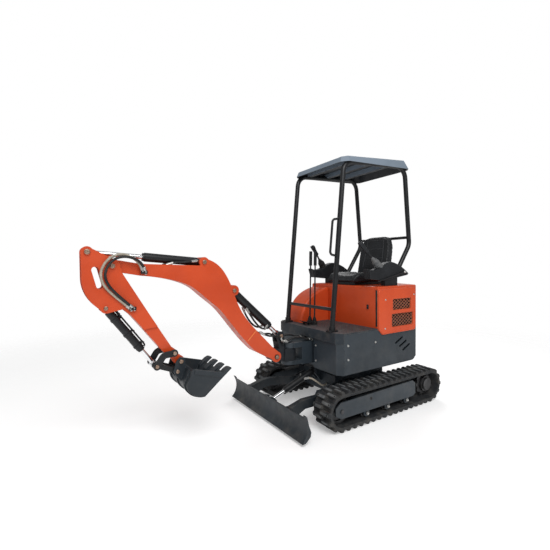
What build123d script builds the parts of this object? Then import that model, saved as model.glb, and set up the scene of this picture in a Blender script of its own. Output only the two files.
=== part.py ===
"""Mini excavator with a four-post canopy, rubber tracks, dozer blade and digging arm.

Millimetres, +X forward, +Y to the operator's left, +Z up, ground at Z = 0.
Side-view points are measured from the slew axis; the planes below move them into the frame.
"""
import math
import os

from build123d import *

# Clearances
RUN = 0.4            # between a pin and the bore that turns on it
ROD_GAP = 1.0        # between a rod and the barrel around it
SIDE_GAP = 4.0       # between plates that pass each other
SEAT_GAP = 0.3       # between a wheel and the belt around it

# Tracks
TRACK_OUTER_Y = 583.0
BELT_WIDTH = 210.0
WHEEL_Z = 162.0
LUG_HEIGHT = 21.0
BELT_THICKNESS = 24.0
IDLER_X = 558.0
SPROCKET_X = -584.0
LUG_COUNT = 44
LUG_LENGTH = 30.0
BELT_RADIUS = WHEEL_Z - LUG_HEIGHT
BELT_INNER_RADIUS = BELT_RADIUS - BELT_THICKNESS
TRACK_Y = TRACK_OUTER_Y - BELT_WIDTH / 2
TRACK_INNER_Y = TRACK_OUTER_Y - BELT_WIDTH
TRACK_LENGTH = IDLER_X - SPROCKET_X

# Track frame
FRAME_PLATE = 14.0
FRAME_OUTER_Y = TRACK_OUTER_Y - 25.0
FRAME_INNER_Y = TRACK_INNER_Y + 30.0
FRAME_BOTTOM_Z = 104.0
FRAME_TOP_Z = 250.0
FRAME_WEB_Z = 142.0
FRAME_REAR_X = -370.0
FRAME_FORK_X = 425.0
FRAME_FRONT_X = 624.0
ROLLER_RADIUS = 42.0
ROLLER_X = (277.0, 18.0, -241.0)
ROLLER_Z = WHEEL_Z - BELT_INNER_RADIUS + SEAT_GAP + ROLLER_RADIUS
AXLE_RADIUS = 16.0

# Centre frame and slew ring
CENTRE_HALF_Y = 230.0
CENTRE_FRONT_X = 330.0
CENTRE_REAR_X = -300.0
CENTRE_BOTTOM_Z = 150.0
CENTRE_TOP_Z = 345.0
RING_RADIUS = 225.0
RING_TOP_Z = 408.0
RING_GAP = 0.5

# Blade
BLADE_PIVOT = (440.0, 196.0)
BLADE_EYE = (872.0, 150.0)
BLADE_CYL_PIN = (390.0, 335.0)
BLADE_HALF_Y = TRACK_OUTER_Y
BLADE_BOTTOM_Z = 24.0
BLADE_TIP_X = 972.0
BLADE_TOP = (951.0, 228.0)
BLADE_ARM_Y = 318.0
BLADE_ARM_WIDTH = 50.0
BLADE_HINGE_Y = BLADE_ARM_Y - 88.0
BLADE_EAR_SPREAD = 20.0

# Upper frame, deck and covers
UPPER_BOTTOM_Z = RING_TOP_Z + 6.0
FLOOR_TOP_Z = UPPER_BOTTOM_Z + 23.0
SKIRT_BOTTOM_Z = 400.0
SKIRT_TOP_Z = 741.0
SKIRT_ROUND = 60.0
DECK_TOP_Z = 756.0
LIP_BOTTOM_Z = 665.0
LIP_STEP = 10.0
UPPER_HALF_Y = 461.0
UPPER_FRONT_X = 492.0
UPPER_REAR_X = -512.0
TAIL_X = -640.0
PANEL = 12.0
UPPER_INNER_Y = UPPER_HALF_Y - PANEL - 9.0
COVER_FRONT_X = 30.0
COVER_TOP_Z = 1130.0
COVER_ROUND = 14.0
COVER_PLATE = 8.0
CORNER = 55.0

# Operator station
ROOF_HALF_Y = 374.0
POST_INSET = 44.0
CANOPY_POST_Y = ROOF_HALF_Y - POST_INSET
POST_RADIUS = 22.0
FRONT_POST_FOOT = (457.0, DECK_TOP_Z)
HOOP_FRONT = (308.0, 2234.0)
HOOP_REAR = (-513.0, 2294.0)
HOOP_KNEE = (-586.0, 1525.0)
REAR_POST_FOOT = (-305.0, COVER_TOP_Z)
HOOP_BEND = 115.0
HOOP_JOIN_X = -100.0
ROOF_LOW_FRONT = (338.0, 2226.0)
ROOF_LOW_REAR = (-572.0, 2270.0)
ROOF_HIGH_FRONT = (341.0, 2274.0)
ROOF_HIGH_REAR = (-449.0, 2352.0)
ROOF_SKIN = 10.0
ROOF_CORNER = 55.0
ROOF_DRAFT = 24.0
CROSSBAR_Z = 945.0

# Front linkage pins, side view
SWING_X = 680.0
BOOM_FOOT = (849.0, 540.0)
BOOM_CYL_POST = (794.0, 714.0)
BOOM_CYL_BOOM = (1247.0, 1134.0)
ARM_CYL_BOOM = (1496.0, 1362.0)
ARM_PIVOT = (2138.0, 1338.0)
ARM_CYL_ARM = (2285.0, 1431.0)
BUCKET_CYL_ARM = (2183.0, 1060.0)
ROCKER_PIN = (1744.0, 707.0)
BUCKET_PIN = (1694.0, 637.0)
ROCKER_END = (1868.0, 628.0)
LINK_PIN = (1721.0, 568.0)

# Front linkage widths, measured from the middle plane
BOOM_HALF = 60.0
NOSE_HALF = 38.0
ARM_PLATE_IN = NOSE_HALF + SIDE_GAP + 2.0
ARM_PLATE_OUT = ARM_PLATE_IN + 14.0
ARM_END_HALF = 44.0
LINK_IN = ARM_END_HALF + SIDE_GAP + 1.0
LINK_OUT = LINK_IN + 11.0
EAR_IN = LINK_OUT + SIDE_GAP
EAR_OUT = EAR_IN + 14.0
ROCKER_IN = EAR_OUT + SIDE_GAP
ROCKER_OUT = ROCKER_IN + 10.0
FORK_WALL = 14.0
FORK_IN = BOOM_HALF - FORK_WALL
POST_HALF = FORK_IN - 2.0
PIN_RADIUS = 20.0
SMALL_PIN_RADIUS = 14.0
ARM_TOP_BOSS = 36.0

# Cylinders: barrel radius, rod radius, barrel length from its pin, rod start from the same pin
BOOM_CYL = (35.0, 18.0, 488.0, 268.0)
ARM_CYL = (32.0, 16.0, 441.0, 370.0)
BUCKET_CYL = (28.0, 15.0, 392.0, 290.0)
BLADE_CYL = (30.0, 16.0, 370.0, 250.0)
EYE_RADIUS = 27.0
EYE_HALF = 25.0

# Bucket
BUCKET_HALF = 215.0
BUCKET_PLATE = 10.0
BUCKET_LIP = (1401.0, 527.0)
BUCKET_HEEL = (1566.0, 392.0)
BUCKET_BACK = ((1676.0, 548.0), (1698.0, 492.0), (1668.0, 430.0), (1618.0, 398.0))
BUCKET_RIB = 9.0
TOOTH_TIP = (1356.0, 569.0)
TOOTH_HALF = 26.0
TOOTH_Y = (-188.0, -63.0, 63.0, 188.0)

# The frame's middle: halfway between the arm's front and the tracks' rear
FRONT_REACH = ARM_CYL_ARM[0] + ARM_TOP_BOSS
REAR_REACH = SPROCKET_X - WHEEL_Z
SLEW_X = -(FRONT_REACH + REAR_REACH) / 2


def side(y):
    """Side-view plane at this y; extruding goes towards -Y."""
    return Plane(origin=(SLEW_X, y, 0), x_dir=(1, 0, 0), z_dir=(0, -1, 0))


def plan(z):
    """Plan-view plane at this height; extruding goes up."""
    return Plane(origin=(SLEW_X, 0, z), x_dir=(1, 0, 0), z_dir=(0, 0, 1))


def front(x):
    """Front-view plane at this x; extruding goes forward."""
    return Plane(origin=(SLEW_X + x, 0, 0), x_dir=(0, 1, 0), z_dir=(1, 0, 0))


def along(start, end, y=0.0):
    """Plane across the line from one side-view pin to another; extruding follows the line."""
    return Plane(
        origin=(SLEW_X + start[0], y, start[1]),
        x_dir=(0, 1, 0),
        z_dir=(end[0] - start[0], 0, end[1] - start[1]),
    )


def space(x, y, z):
    """A point in the frame from one measured at the slew axis."""
    return (SLEW_X + x, y, z)


def shaft(pin, radius, y0, y1, mode=Mode.ADD):
    """Round bar or bore across the machine at a side-view pin."""
    with BuildSketch(side(y1)) as disc:
        with Locations(pin):
            Circle(radius)
    extrude(disc.sketch, amount=y1 - y0, mode=mode)


def twin_shaft(pin, radius, y0, y1, mode=Mode.ADD):
    """The same on both sides of the middle plane."""
    shaft(pin, radius, y0, y1, mode)
    shaft(pin, radius, -y1, -y0, mode)


def slab(points, y0, y1, mode=Mode.ADD, rounding=0.0):
    """Side-view outline extruded from y0 to y1, its corners rounded where asked."""
    with BuildSketch(side(y1)) as outline:
        with BuildLine():
            if rounding > 0:
                FilletPolyline(*points, radius=rounding, close=True)
            else:
                Polyline(*points, close=True)
        make_face()
    extrude(outline.sketch, amount=y1 - y0, mode=mode)


def block(x0, x1, y0, y1, z0, z1, mode=Mode.ADD):
    """Square-edged block between six limits."""
    with BuildSketch(plan(z0)) as base:
        with Locations(((x0 + x1) / 2, (y0 + y1) / 2)):
            Rectangle(x1 - x0, y1 - y0)
    extrude(base.sketch, amount=z1 - z0, mode=mode)


def point_on(start, end, distance):
    """Side-view point this far from start towards end."""
    length = math.dist(start, end)
    share = distance / length
    return (start[0] + (end[0] - start[0]) * share, start[1] + (end[1] - start[1]) * share)


def rod_bar(start, end, radius, s0, s1, mode=Mode.ADD):
    """Round bar along the line between two pins, from s0 to s1."""
    with BuildSketch(along(point_on(start, end, s0), end)) as disc:
        Circle(radius)
    extrude(disc.sketch, amount=s1 - s0, mode=mode)


def make_barrel(start, end, sizes, pin_radius, half):
    """Cylinder barrel with its eye on the start pin, bored for the rod."""
    barrel_radius, rod_radius, barrel_end, rod_start = sizes
    shaft(start, EYE_RADIUS, -half, half)
    rod_bar(start, end, barrel_radius * 0.8, EYE_RADIUS * 0.6, EYE_RADIUS + 16)
    rod_bar(start, end, barrel_radius, EYE_RADIUS + 12, barrel_end - 14)
    rod_bar(start, end, barrel_radius * 0.88, barrel_end - 14, barrel_end)
    rod_bar(start, end, rod_radius + ROD_GAP, EYE_RADIUS + 22, barrel_end, Mode.SUBTRACT)
    shaft(start, pin_radius + RUN, -half - 20, half + 20, Mode.SUBTRACT)


def make_rod(start, end, sizes, pin_radius, half):
    """Piston rod with its eye at the end pin."""
    barrel_radius, rod_radius, barrel_end, rod_start = sizes
    length = math.dist(start, end)
    rod_bar(start, end, rod_radius, rod_start, length - EYE_RADIUS * 0.6)
    shaft(end, EYE_RADIUS, -half, half)
    shaft(end, pin_radius + RUN, -half, half, Mode.SUBTRACT)


# Track belts with their lugs
BELT_LOOP = 2 * TRACK_LENGTH + 2 * math.pi * BELT_RADIUS
LUG_PITCH = BELT_LOOP / LUG_COUNT


def belt_place(s):
    """Side-view place and outward angle at this distance round the belt's outer face."""
    half_turn = math.pi * BELT_RADIUS
    s = s % BELT_LOOP
    if s < TRACK_LENGTH:
        return SPROCKET_X + s, WHEEL_Z - BELT_RADIUS, -90.0
    s = s - TRACK_LENGTH
    if s < half_turn:
        angle = -90.0 + math.degrees(s / BELT_RADIUS)
        turn = math.radians(angle)
        return IDLER_X + BELT_RADIUS * math.cos(turn), WHEEL_Z + BELT_RADIUS * math.sin(turn), angle
    s = s - half_turn
    if s < TRACK_LENGTH:
        return IDLER_X - s, WHEEL_Z + BELT_RADIUS, 90.0
    s = s - TRACK_LENGTH
    angle = 90.0 + math.degrees(s / BELT_RADIUS)
    turn = math.radians(angle)
    return SPROCKET_X + BELT_RADIUS * math.cos(turn), WHEEL_Z + BELT_RADIUS * math.sin(turn), angle


BELT_MIDDLE_X = (IDLER_X + SPROCKET_X) / 2
LUG_SINK = 4.0
LUG_OVERLAP = 14.0

with BuildPart() as track_left:
    for phase, y0, y1 in (
        (0.0, TRACK_Y - LUG_OVERLAP, TRACK_OUTER_Y),
        (0.5, TRACK_INNER_Y, TRACK_Y + LUG_OVERLAP),
    ):
        with BuildSketch(side(y1)) as shoes:
            for index in range(LUG_COUNT):
                lug_x, lug_z, lug_angle = belt_place((index + phase) * LUG_PITCH)
                reach = LUG_HEIGHT / 2 - LUG_SINK / 2
                turn = math.radians(lug_angle)
                with Locations(
                    Location((lug_x + reach * math.cos(turn), lug_z + reach * math.sin(turn)), lug_angle)
                ):
                    Rectangle(LUG_HEIGHT + LUG_SINK, LUG_LENGTH)
            with Locations((BELT_MIDDLE_X, WHEEL_Z)):
                SlotCenterToCenter(TRACK_LENGTH, 2 * WHEEL_Z, mode=Mode.INTERSECT)
        extrude(shoes.sketch, amount=y1 - y0)
    with BuildSketch(side(TRACK_OUTER_Y)) as loop:
        with Locations((BELT_MIDDLE_X, WHEEL_Z)):
            SlotCenterToCenter(TRACK_LENGTH, 2 * BELT_RADIUS)
    extrude(loop.sketch, amount=BELT_WIDTH)
    with BuildSketch(side(TRACK_OUTER_Y)) as hollow:
        with Locations((BELT_MIDDLE_X, WHEEL_Z)):
            SlotCenterToCenter(TRACK_LENGTH, 2 * BELT_INNER_RADIUS)
    extrude(hollow.sketch, amount=BELT_WIDTH, mode=Mode.SUBTRACT)

with BuildPart() as track_right:
    mirror(track_left.part, about=Plane.XZ)

# Track frames: an inverted channel with a fork for the idler and a plate for the drive
DRIVE_PLATE_Y = FRAME_INNER_Y + FRAME_PLATE

with BuildPart() as track_frame_left:
    slab(
        [
            (FRAME_REAR_X, FRAME_BOTTOM_Z + 20),
            (FRAME_REAR_X + 30, FRAME_BOTTOM_Z),
            (FRAME_FRONT_X - 60, FRAME_BOTTOM_Z),
            (FRAME_FRONT_X, WHEEL_Z - 25),
            (FRAME_FRONT_X, WHEEL_Z + 35),
            (FRAME_FRONT_X - 55, FRAME_TOP_Z - 14),
            (FRAME_REAR_X + 40, FRAME_TOP_Z),
            (FRAME_REAR_X, FRAME_TOP_Z - 30),
        ],
        FRAME_INNER_Y,
        FRAME_OUTER_Y,
        rounding=18,
    )
    block(
        FRAME_FORK_X,
        FRAME_FRONT_X + 10,
        FRAME_INNER_Y + FRAME_PLATE,
        FRAME_OUTER_Y - FRAME_PLATE,
        0,
        FRAME_TOP_Z + 20,
        Mode.SUBTRACT,
    )
    block(
        FRAME_REAR_X - 10,
        FRAME_FORK_X,
        FRAME_INNER_Y + FRAME_PLATE,
        FRAME_OUTER_Y - FRAME_PLATE,
        0,
        FRAME_WEB_Z,
        Mode.SUBTRACT,
    )
    for roller_x in ROLLER_X:
        shaft((roller_x, ROLLER_Z), 30, FRAME_INNER_Y, DRIVE_PLATE_Y)
        shaft((roller_x, ROLLER_Z), 30, FRAME_OUTER_Y - FRAME_PLATE, FRAME_OUTER_Y)
        shaft((roller_x, ROLLER_Z), AXLE_RADIUS + RUN, 0, TRACK_OUTER_Y, Mode.SUBTRACT)
    slab(
        [
            (FRAME_REAR_X + 60, FRAME_BOTTOM_Z + 10),
            (FRAME_REAR_X + 60, FRAME_TOP_Z - 10),
            (SPROCKET_X, WHEEL_Z + 78),
            (SPROCKET_X - 78, WHEEL_Z),
            (SPROCKET_X, WHEEL_Z - 78),
        ],
        FRAME_INNER_Y,
        DRIVE_PLATE_Y,
    )
    shaft((IDLER_X, WHEEL_Z), AXLE_RADIUS + RUN, 0, TRACK_OUTER_Y, Mode.SUBTRACT)

with BuildPart() as track_frame_right:
    mirror(track_frame_left.part, about=Plane.XZ)

# Drive sprockets with their motors, idlers and rollers
SPROCKET_TEETH = 11
SPROCKET_RADIUS = BELT_INNER_RADIUS - SEAT_GAP

with BuildPart() as sprocket_left:
    shaft((SPROCKET_X, WHEEL_Z), SPROCKET_RADIUS, TRACK_Y - 20, TRACK_Y + 20)
    for index in range(SPROCKET_TEETH):
        turn = 2 * math.pi * (index + 0.5) / SPROCKET_TEETH
        gullet = (
            SPROCKET_X + (SPROCKET_RADIUS + 4) * math.cos(turn),
            WHEEL_Z + (SPROCKET_RADIUS + 4) * math.sin(turn),
        )
        shaft(gullet, 20, TRACK_Y - 20, TRACK_Y + 20, Mode.SUBTRACT)
    shaft((SPROCKET_X, WHEEL_Z), 74, DRIVE_PLATE_Y, TRACK_Y + 44)
    shaft((SPROCKET_X, WHEEL_Z), 58, TRACK_Y + 44, TRACK_Y + 62)

with BuildPart() as sprocket_right:
    mirror(sprocket_left.part, about=Plane.XZ)

with BuildPart() as idler_left:
    shaft((IDLER_X, WHEEL_Z), BELT_INNER_RADIUS - SEAT_GAP, TRACK_Y - 34, TRACK_Y + 34)
    twin_ring_y = (TRACK_Y - 34, TRACK_Y + 20)
    for ring_y in twin_ring_y:
        shaft((IDLER_X, WHEEL_Z), 88, ring_y, ring_y + 14, Mode.SUBTRACT)
        shaft((IDLER_X, WHEEL_Z), 34, ring_y, ring_y + 14)
    shaft((IDLER_X, WHEEL_Z), AXLE_RADIUS, FRAME_INNER_Y - 6, FRAME_OUTER_Y + 6)

with BuildPart() as idler_right:
    mirror(idler_left.part, about=Plane.XZ)

with BuildPart() as rollers_left:
    for roller_x in ROLLER_X:
        shaft((roller_x, ROLLER_Z), ROLLER_RADIUS, TRACK_Y - 48, TRACK_Y + 48)
        shaft((roller_x, ROLLER_Z), AXLE_RADIUS, FRAME_INNER_Y - 4, FRAME_OUTER_Y + 8)

with BuildPart() as rollers_right:
    mirror(rollers_left.part, about=Plane.XZ)

# Centre frame between the tracks
TIE_REACH = 40.0
TIE_X = CENTRE_REAR_X - TIE_REACH
TIE_Z = 235.0
TIE_RADIUS = 16.0
TIE_PLATE = 18.0
TIE_Y = 150.0

with BuildPart() as centre_frame:
    block(CENTRE_REAR_X, CENTRE_FRONT_X, -CENTRE_HALF_Y, CENTRE_HALF_Y, CENTRE_BOTTOM_Z, CENTRE_TOP_Z - 25)
    with BuildSketch(plan(CENTRE_TOP_Z - 25)) as turntable:
        Circle(RING_RADIUS + 20)
    extrude(turntable.sketch, amount=25)
    for leg_x in (-190.0, 200.0):
        block(leg_x - 70, leg_x + 70, -FRAME_INNER_Y, FRAME_INNER_Y, 165, 275)
    for ear_y in (BLADE_HINGE_Y + BLADE_EAR_SPREAD, BLADE_HINGE_Y - BLADE_EAR_SPREAD):
        for hand in (-1, 1):
            y0 = hand * ear_y
            slab(
                [
                    (250, 170),
                    (BLADE_PIVOT[0], BLADE_PIVOT[1] - 36),
                    (BLADE_PIVOT[0] + 36, BLADE_PIVOT[1]),
                    (BLADE_PIVOT[0], BLADE_PIVOT[1] + 36),
                    (250, 275),
                ],
                y0 - 8,
                y0 + 8,
            )
    for ear_y in (-EYE_HALF - 18, EYE_HALF + 4):
        slab(
            [
                (280, 240),
                (345, 240),
                (BLADE_CYL_PIN[0] + 26, BLADE_CYL_PIN[1] - 14),
                (BLADE_CYL_PIN[0] + 14, BLADE_CYL_PIN[1] + 24),
                (BLADE_CYL_PIN[0] - 22, BLADE_CYL_PIN[1] + 20),
                (280, 318),
            ],
            ear_y,
            ear_y + 14,
        )
    shaft(BLADE_CYL_PIN, SMALL_PIN_RADIUS, -EYE_HALF - 26, EYE_HALF + 26)
    for hand in (-1, 1):
        y0 = hand * BLADE_HINGE_Y
        shaft(BLADE_PIVOT, PIN_RADIUS, y0 - 36, y0 + 36)

    for lug_y in (-TIE_Y, TIE_Y):
        with BuildSketch(plan(TIE_Z - TIE_PLATE / 2)) as tie_lug:
            with Locations((CENTRE_REAR_X, lug_y)):
                Rectangle(2 * TIE_REACH, 4 * TIE_RADIUS)
            with Locations((TIE_X, lug_y)):
                Circle(2 * TIE_RADIUS)
        extrude(tie_lug.sketch, amount=TIE_PLATE)
        with BuildSketch(plan(TIE_Z - TIE_PLATE)) as tie_bore:
            with Locations((TIE_X, lug_y)):
                Circle(TIE_RADIUS)
        extrude(tie_bore.sketch, amount=2 * TIE_PLATE, mode=Mode.SUBTRACT)

# Slew ring
with BuildPart() as slew_ring:
    with BuildSketch(plan(CENTRE_TOP_Z)) as ring:
        Circle(RING_RADIUS)
        Circle(RING_RADIUS - 60, mode=Mode.SUBTRACT)
    extrude(ring.sketch, amount=RING_TOP_Z - CENTRE_TOP_Z)

# Dozer blade with its arms
with BuildPart() as blade:
    with BuildSketch(side(BLADE_HALF_Y)) as blade_section:
        with BuildLine():
            Polyline(
                (BLADE_TIP_X, BLADE_BOTTOM_Z),
                (BLADE_TIP_X - 30, BLADE_BOTTOM_Z),
                (896, 62),
                (890, 96),
                (910, 150),
                (BLADE_TOP[0] - 24, BLADE_TOP[1] - 14),
                (BLADE_TOP[0] - 12, BLADE_TOP[1]),
                BLADE_TOP,
            )
            ThreePointArc(BLADE_TOP, (922, 122), (BLADE_TIP_X, BLADE_BOTTOM_Z))
        make_face()
    extrude(blade_section.sketch, amount=2 * BLADE_HALF_Y)
    for hand in (-1, 1):
        y0 = hand * BLADE_HINGE_Y
        arm_y = hand * BLADE_ARM_Y
        with BuildSketch(plan(0)) as arm_plan:
            with BuildLine():
                Polyline(
                    (BLADE_PIVOT[0] - 30, y0 - 11),
                    (BLADE_PIVOT[0] - 30, y0 + 11),
                    (520, y0 + 11),
                    (600, arm_y + BLADE_ARM_WIDTH / 2),
                    (915, arm_y + BLADE_ARM_WIDTH / 2),
                    (915, arm_y - BLADE_ARM_WIDTH / 2),
                    (620, arm_y - BLADE_ARM_WIDTH / 2),
                    (540, y0 - 11),
                    close=True,
                )
            make_face()
        extrude(arm_plan.sketch, amount=400)
    slab([(380, 234), (380, 420), (1100, 420), (1100, 232), (900, 200), (770, 234)], -560, 560, Mode.SUBTRACT)
    slab(
        [
            (380, -10),
            (380, 160),
            (760, 160),
            (888, 98),
            (888, 64),
            (BLADE_TIP_X - 30, BLADE_BOTTOM_Z),
            (BLADE_TIP_X - 30, -10),
        ],
        -560,
        560,
        Mode.SUBTRACT,
    )
    slab([(380, 100), (380, 320), (430, 236), (405, 196), (430, 156)], -560, 560, Mode.SUBTRACT)
    for hand in (-1, 1):
        y0 = hand * BLADE_HINGE_Y
        shaft(BLADE_PIVOT, PIN_RADIUS + RUN, y0 - 40, y0 + 40, Mode.SUBTRACT)
    for ear_y in (-EYE_HALF - 22, EYE_HALF + 8):
        slab(
            [
                (905, 80),
                (BLADE_EYE[0], BLADE_EYE[1] - 32),
                (BLADE_EYE[0] - 34, BLADE_EYE[1]),
                (BLADE_EYE[0], BLADE_EYE[1] + 36),
                (925, 200),
            ],
            ear_y,
            ear_y + 14,
        )
    slab([(815, 90), (815, 215), (898, 215), (898, 90)], -EYE_HALF - 8, EYE_HALF + 8, Mode.SUBTRACT)
    shaft(BLADE_EYE, SMALL_PIN_RADIUS, EYE_HALF + 8, EYE_HALF + 28)
    shaft(BLADE_EYE, SMALL_PIN_RADIUS, -EYE_HALF - 28, -EYE_HALF - 8)

with BuildPart() as blade_barrel:
    make_barrel(BLADE_CYL_PIN, BLADE_EYE, BLADE_CYL, SMALL_PIN_RADIUS, EYE_HALF)

with BuildPart() as blade_rod:
    make_rod(BLADE_CYL_PIN, BLADE_EYE, BLADE_CYL, SMALL_PIN_RADIUS, EYE_HALF)

# Upper frame with the nose that carries the boom's swing post
NOSE_HALF_Y = 80.0
NOSE_LOW = (446.0, 482.0)
NOSE_HIGH = (596.0, 640.0)
SWING_PIN = 30.0
FLOOR_FRONT_X = UPPER_FRONT_X - LIP_STEP - PANEL
FLOOR_CORNER = 45.0

with BuildPart() as upper_frame:
    with BuildSketch(plan(UPPER_BOTTOM_Z)) as floor_plan:
        with BuildLine():
            Polyline(
                (UPPER_REAR_X + PANEL, UPPER_INNER_Y),
                (FLOOR_FRONT_X - FLOOR_CORNER, UPPER_INNER_Y),
                (FLOOR_FRONT_X, UPPER_INNER_Y - FLOOR_CORNER),
                (FLOOR_FRONT_X, -UPPER_INNER_Y + FLOOR_CORNER),
                (FLOOR_FRONT_X - FLOOR_CORNER, -UPPER_INNER_Y),
                (UPPER_REAR_X + PANEL, -UPPER_INNER_Y),
                close=True,
            )
        make_face()
    extrude(floor_plan.sketch, amount=FLOOR_TOP_Z - UPPER_BOTTOM_Z)
    with BuildSketch(plan(RING_TOP_Z + RING_GAP)) as hub:
        Circle(RING_RADIUS - 10)
    extrude(hub.sketch, amount=UPPER_BOTTOM_Z - RING_TOP_Z - RING_GAP)
    block(250, 590, -NOSE_HALF_Y, NOSE_HALF_Y, FLOOR_TOP_Z, NOSE_HIGH[1])
    for z0, z1 in (NOSE_LOW, NOSE_HIGH):
        with BuildSketch(plan(z0)) as lug:
            with Locations(((560 + SWING_X) / 2, 0)):
                Rectangle(SWING_X - 560, 2 * NOSE_HALF_Y)
            with Locations((SWING_X, 0)):
                Circle(70)
        extrude(lug.sketch, amount=z1 - z0)
    with BuildSketch(plan(NOSE_LOW[0] - 8)) as king_pin:
        with Locations((SWING_X, 0)):
            Circle(SWING_PIN)
    extrude(king_pin.sketch, amount=NOSE_HIGH[1] + 16 - NOSE_LOW[0])
    for rib_y in (-250.0, 250.0):
        block(-440, 440, rib_y - 8, rib_y + 8, FLOOR_TOP_Z, SKIRT_TOP_Z - PANEL)

# Dark panels round the upper frame, with slanted louvres near the rear
LOUVRES = ((-262.0, 618.0), (-318.0, 580.0), (-366.0, 540.0))
LOUVRE_SIZE = (120.0, 20.0)
LOUVRE_ANGLE = -25.0
PANEL_EDGE = 5.0

with BuildPart() as skirt_left:
    with BuildSketch(side(UPPER_HALF_Y)) as skirt_side:
        with BuildLine():
            Polyline(
                (UPPER_REAR_X, SKIRT_BOTTOM_Z + SKIRT_ROUND),
                (UPPER_REAR_X, SKIRT_TOP_Z),
                (UPPER_FRONT_X - CORNER, SKIRT_TOP_Z),
                (UPPER_FRONT_X - CORNER, SKIRT_BOTTOM_Z),
                (UPPER_REAR_X + SKIRT_ROUND, SKIRT_BOTTOM_Z),
            )
            RadiusArc(
                (UPPER_REAR_X, SKIRT_BOTTOM_Z + SKIRT_ROUND),
                (UPPER_REAR_X + SKIRT_ROUND, SKIRT_BOTTOM_Z),
                -SKIRT_ROUND,
            )
        make_face()
        for louvre in LOUVRES:
            with Locations(Location(louvre, LOUVRE_ANGLE)):
                SlotOverall(*LOUVRE_SIZE, mode=Mode.SUBTRACT)
    extrude(skirt_side.sketch, amount=PANEL)
    outer_rim = skirt_left.faces().sort_by(Axis.Y)[-1].outer_wire().edges()
    fillet(outer_rim.group_by(Axis.Z)[0] + outer_rim.filter_by(GeomType.CIRCLE), PANEL_EDGE)

with BuildPart() as skirt_right:
    mirror(skirt_left.part, about=Plane.XZ)

with BuildPart() as skirt_front:
    for hand in (-1, 1):
        with BuildSketch(plan(SKIRT_BOTTOM_Z)) as corner_plan:
            with BuildLine():
                Polyline(
                    (UPPER_FRONT_X - CORNER, hand * UPPER_HALF_Y),
                    (UPPER_FRONT_X - LIP_STEP, hand * (UPPER_HALF_Y - CORNER)),
                    (UPPER_FRONT_X - LIP_STEP, hand * (NOSE_HALF_Y + 30)),
                    (UPPER_FRONT_X - LIP_STEP - PANEL, hand * (NOSE_HALF_Y + 30)),
                    (UPPER_FRONT_X - LIP_STEP - PANEL, hand * (UPPER_HALF_Y - CORNER - 5)),
                    (UPPER_FRONT_X - CORNER, hand * (UPPER_HALF_Y - PANEL)),
                    close=True,
                )
            make_face()
        extrude(corner_plan.sketch, amount=LIP_BOTTOM_Z - SKIRT_BOTTOM_Z)

# Counterweight, rounded in plan and along its lower edge
TAIL_ROUND = 45.0

with BuildPart() as counterweight:
    with BuildSketch(plan(SKIRT_BOTTOM_Z)) as tail_plan:
        with BuildLine():
            ThreePointArc((UPPER_REAR_X, UPPER_HALF_Y), (TAIL_X, 0), (UPPER_REAR_X, -UPPER_HALF_Y))
            Line((UPPER_REAR_X, -UPPER_HALF_Y), (UPPER_REAR_X, UPPER_HALF_Y))
        make_face()
    extrude(tail_plan.sketch, amount=SKIRT_TOP_Z - SKIRT_BOTTOM_Z)
    fillet(counterweight.edges().filter_by(GeomType.CIRCLE).sort_by(Axis.Z)[0], TAIL_ROUND)
    block(
        UPPER_REAR_X,
        UPPER_REAR_X + PANEL,
        -UPPER_INNER_Y,
        UPPER_INNER_Y,
        SKIRT_BOTTOM_Z + SKIRT_ROUND,
        SKIRT_TOP_Z,
    )

# Deck with its deep front lip
LIP_WALL = 14.0

with BuildPart() as deck:
    with BuildSketch(plan(SKIRT_TOP_Z)) as deck_plan:
        with BuildLine():
            Polyline(
                (COVER_FRONT_X, UPPER_HALF_Y),
                (UPPER_FRONT_X - CORNER, UPPER_HALF_Y),
                (UPPER_FRONT_X, UPPER_HALF_Y - CORNER),
                (UPPER_FRONT_X, -UPPER_HALF_Y + CORNER),
                (UPPER_FRONT_X - CORNER, -UPPER_HALF_Y),
                (COVER_FRONT_X, -UPPER_HALF_Y),
                close=True,
            )
        make_face()
    extrude(deck_plan.sketch, amount=DECK_TOP_Z - SKIRT_TOP_Z)
    with BuildSketch(plan(LIP_BOTTOM_Z)) as lip_plan:
        with BuildLine():
            Polyline(
                (UPPER_FRONT_X - CORNER, UPPER_HALF_Y),
                (UPPER_FRONT_X, UPPER_HALF_Y - CORNER),
                (UPPER_FRONT_X, -UPPER_HALF_Y + CORNER),
                (UPPER_FRONT_X - CORNER, -UPPER_HALF_Y),
                (UPPER_FRONT_X - CORNER, -UPPER_HALF_Y + LIP_WALL),
                (UPPER_FRONT_X - LIP_WALL, -UPPER_HALF_Y + CORNER + LIP_WALL / 2),
                (UPPER_FRONT_X - LIP_WALL, UPPER_HALF_Y - CORNER - LIP_WALL / 2),
                (UPPER_FRONT_X - CORNER, UPPER_HALF_Y - LIP_WALL),
                close=True,
            )
        make_face()
    extrude(lip_plan.sketch, amount=SKIRT_TOP_Z - LIP_BOTTOM_Z)
    fillet(deck.faces().sort_by(Axis.X)[-1].edges().filter_by(Axis.Y), PANEL_EDGE)

# Engine cover: front, sides and top, open to the rear where the bonnet closes it
BONNET_GAP = 5.0
BONNET_EDGE_Y = UPPER_HALF_Y - 4.0
BONNET_TAIL_X = TAIL_X + 14.0
BONNET_BOTTOM_Z = SKIRT_TOP_Z + 6.0
HINGE_KNUCKLE = 8.0
HINGE_PIN = 4.5
HINGE_TAB = 14.0
HINGE_LENGTH = 30.0
HINGE_Z = (800.0, 1010.0)
BONNET_HINGE = (UPPER_REAR_X - HINGE_KNUCKLE - 1.0, -BONNET_EDGE_Y)


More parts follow.
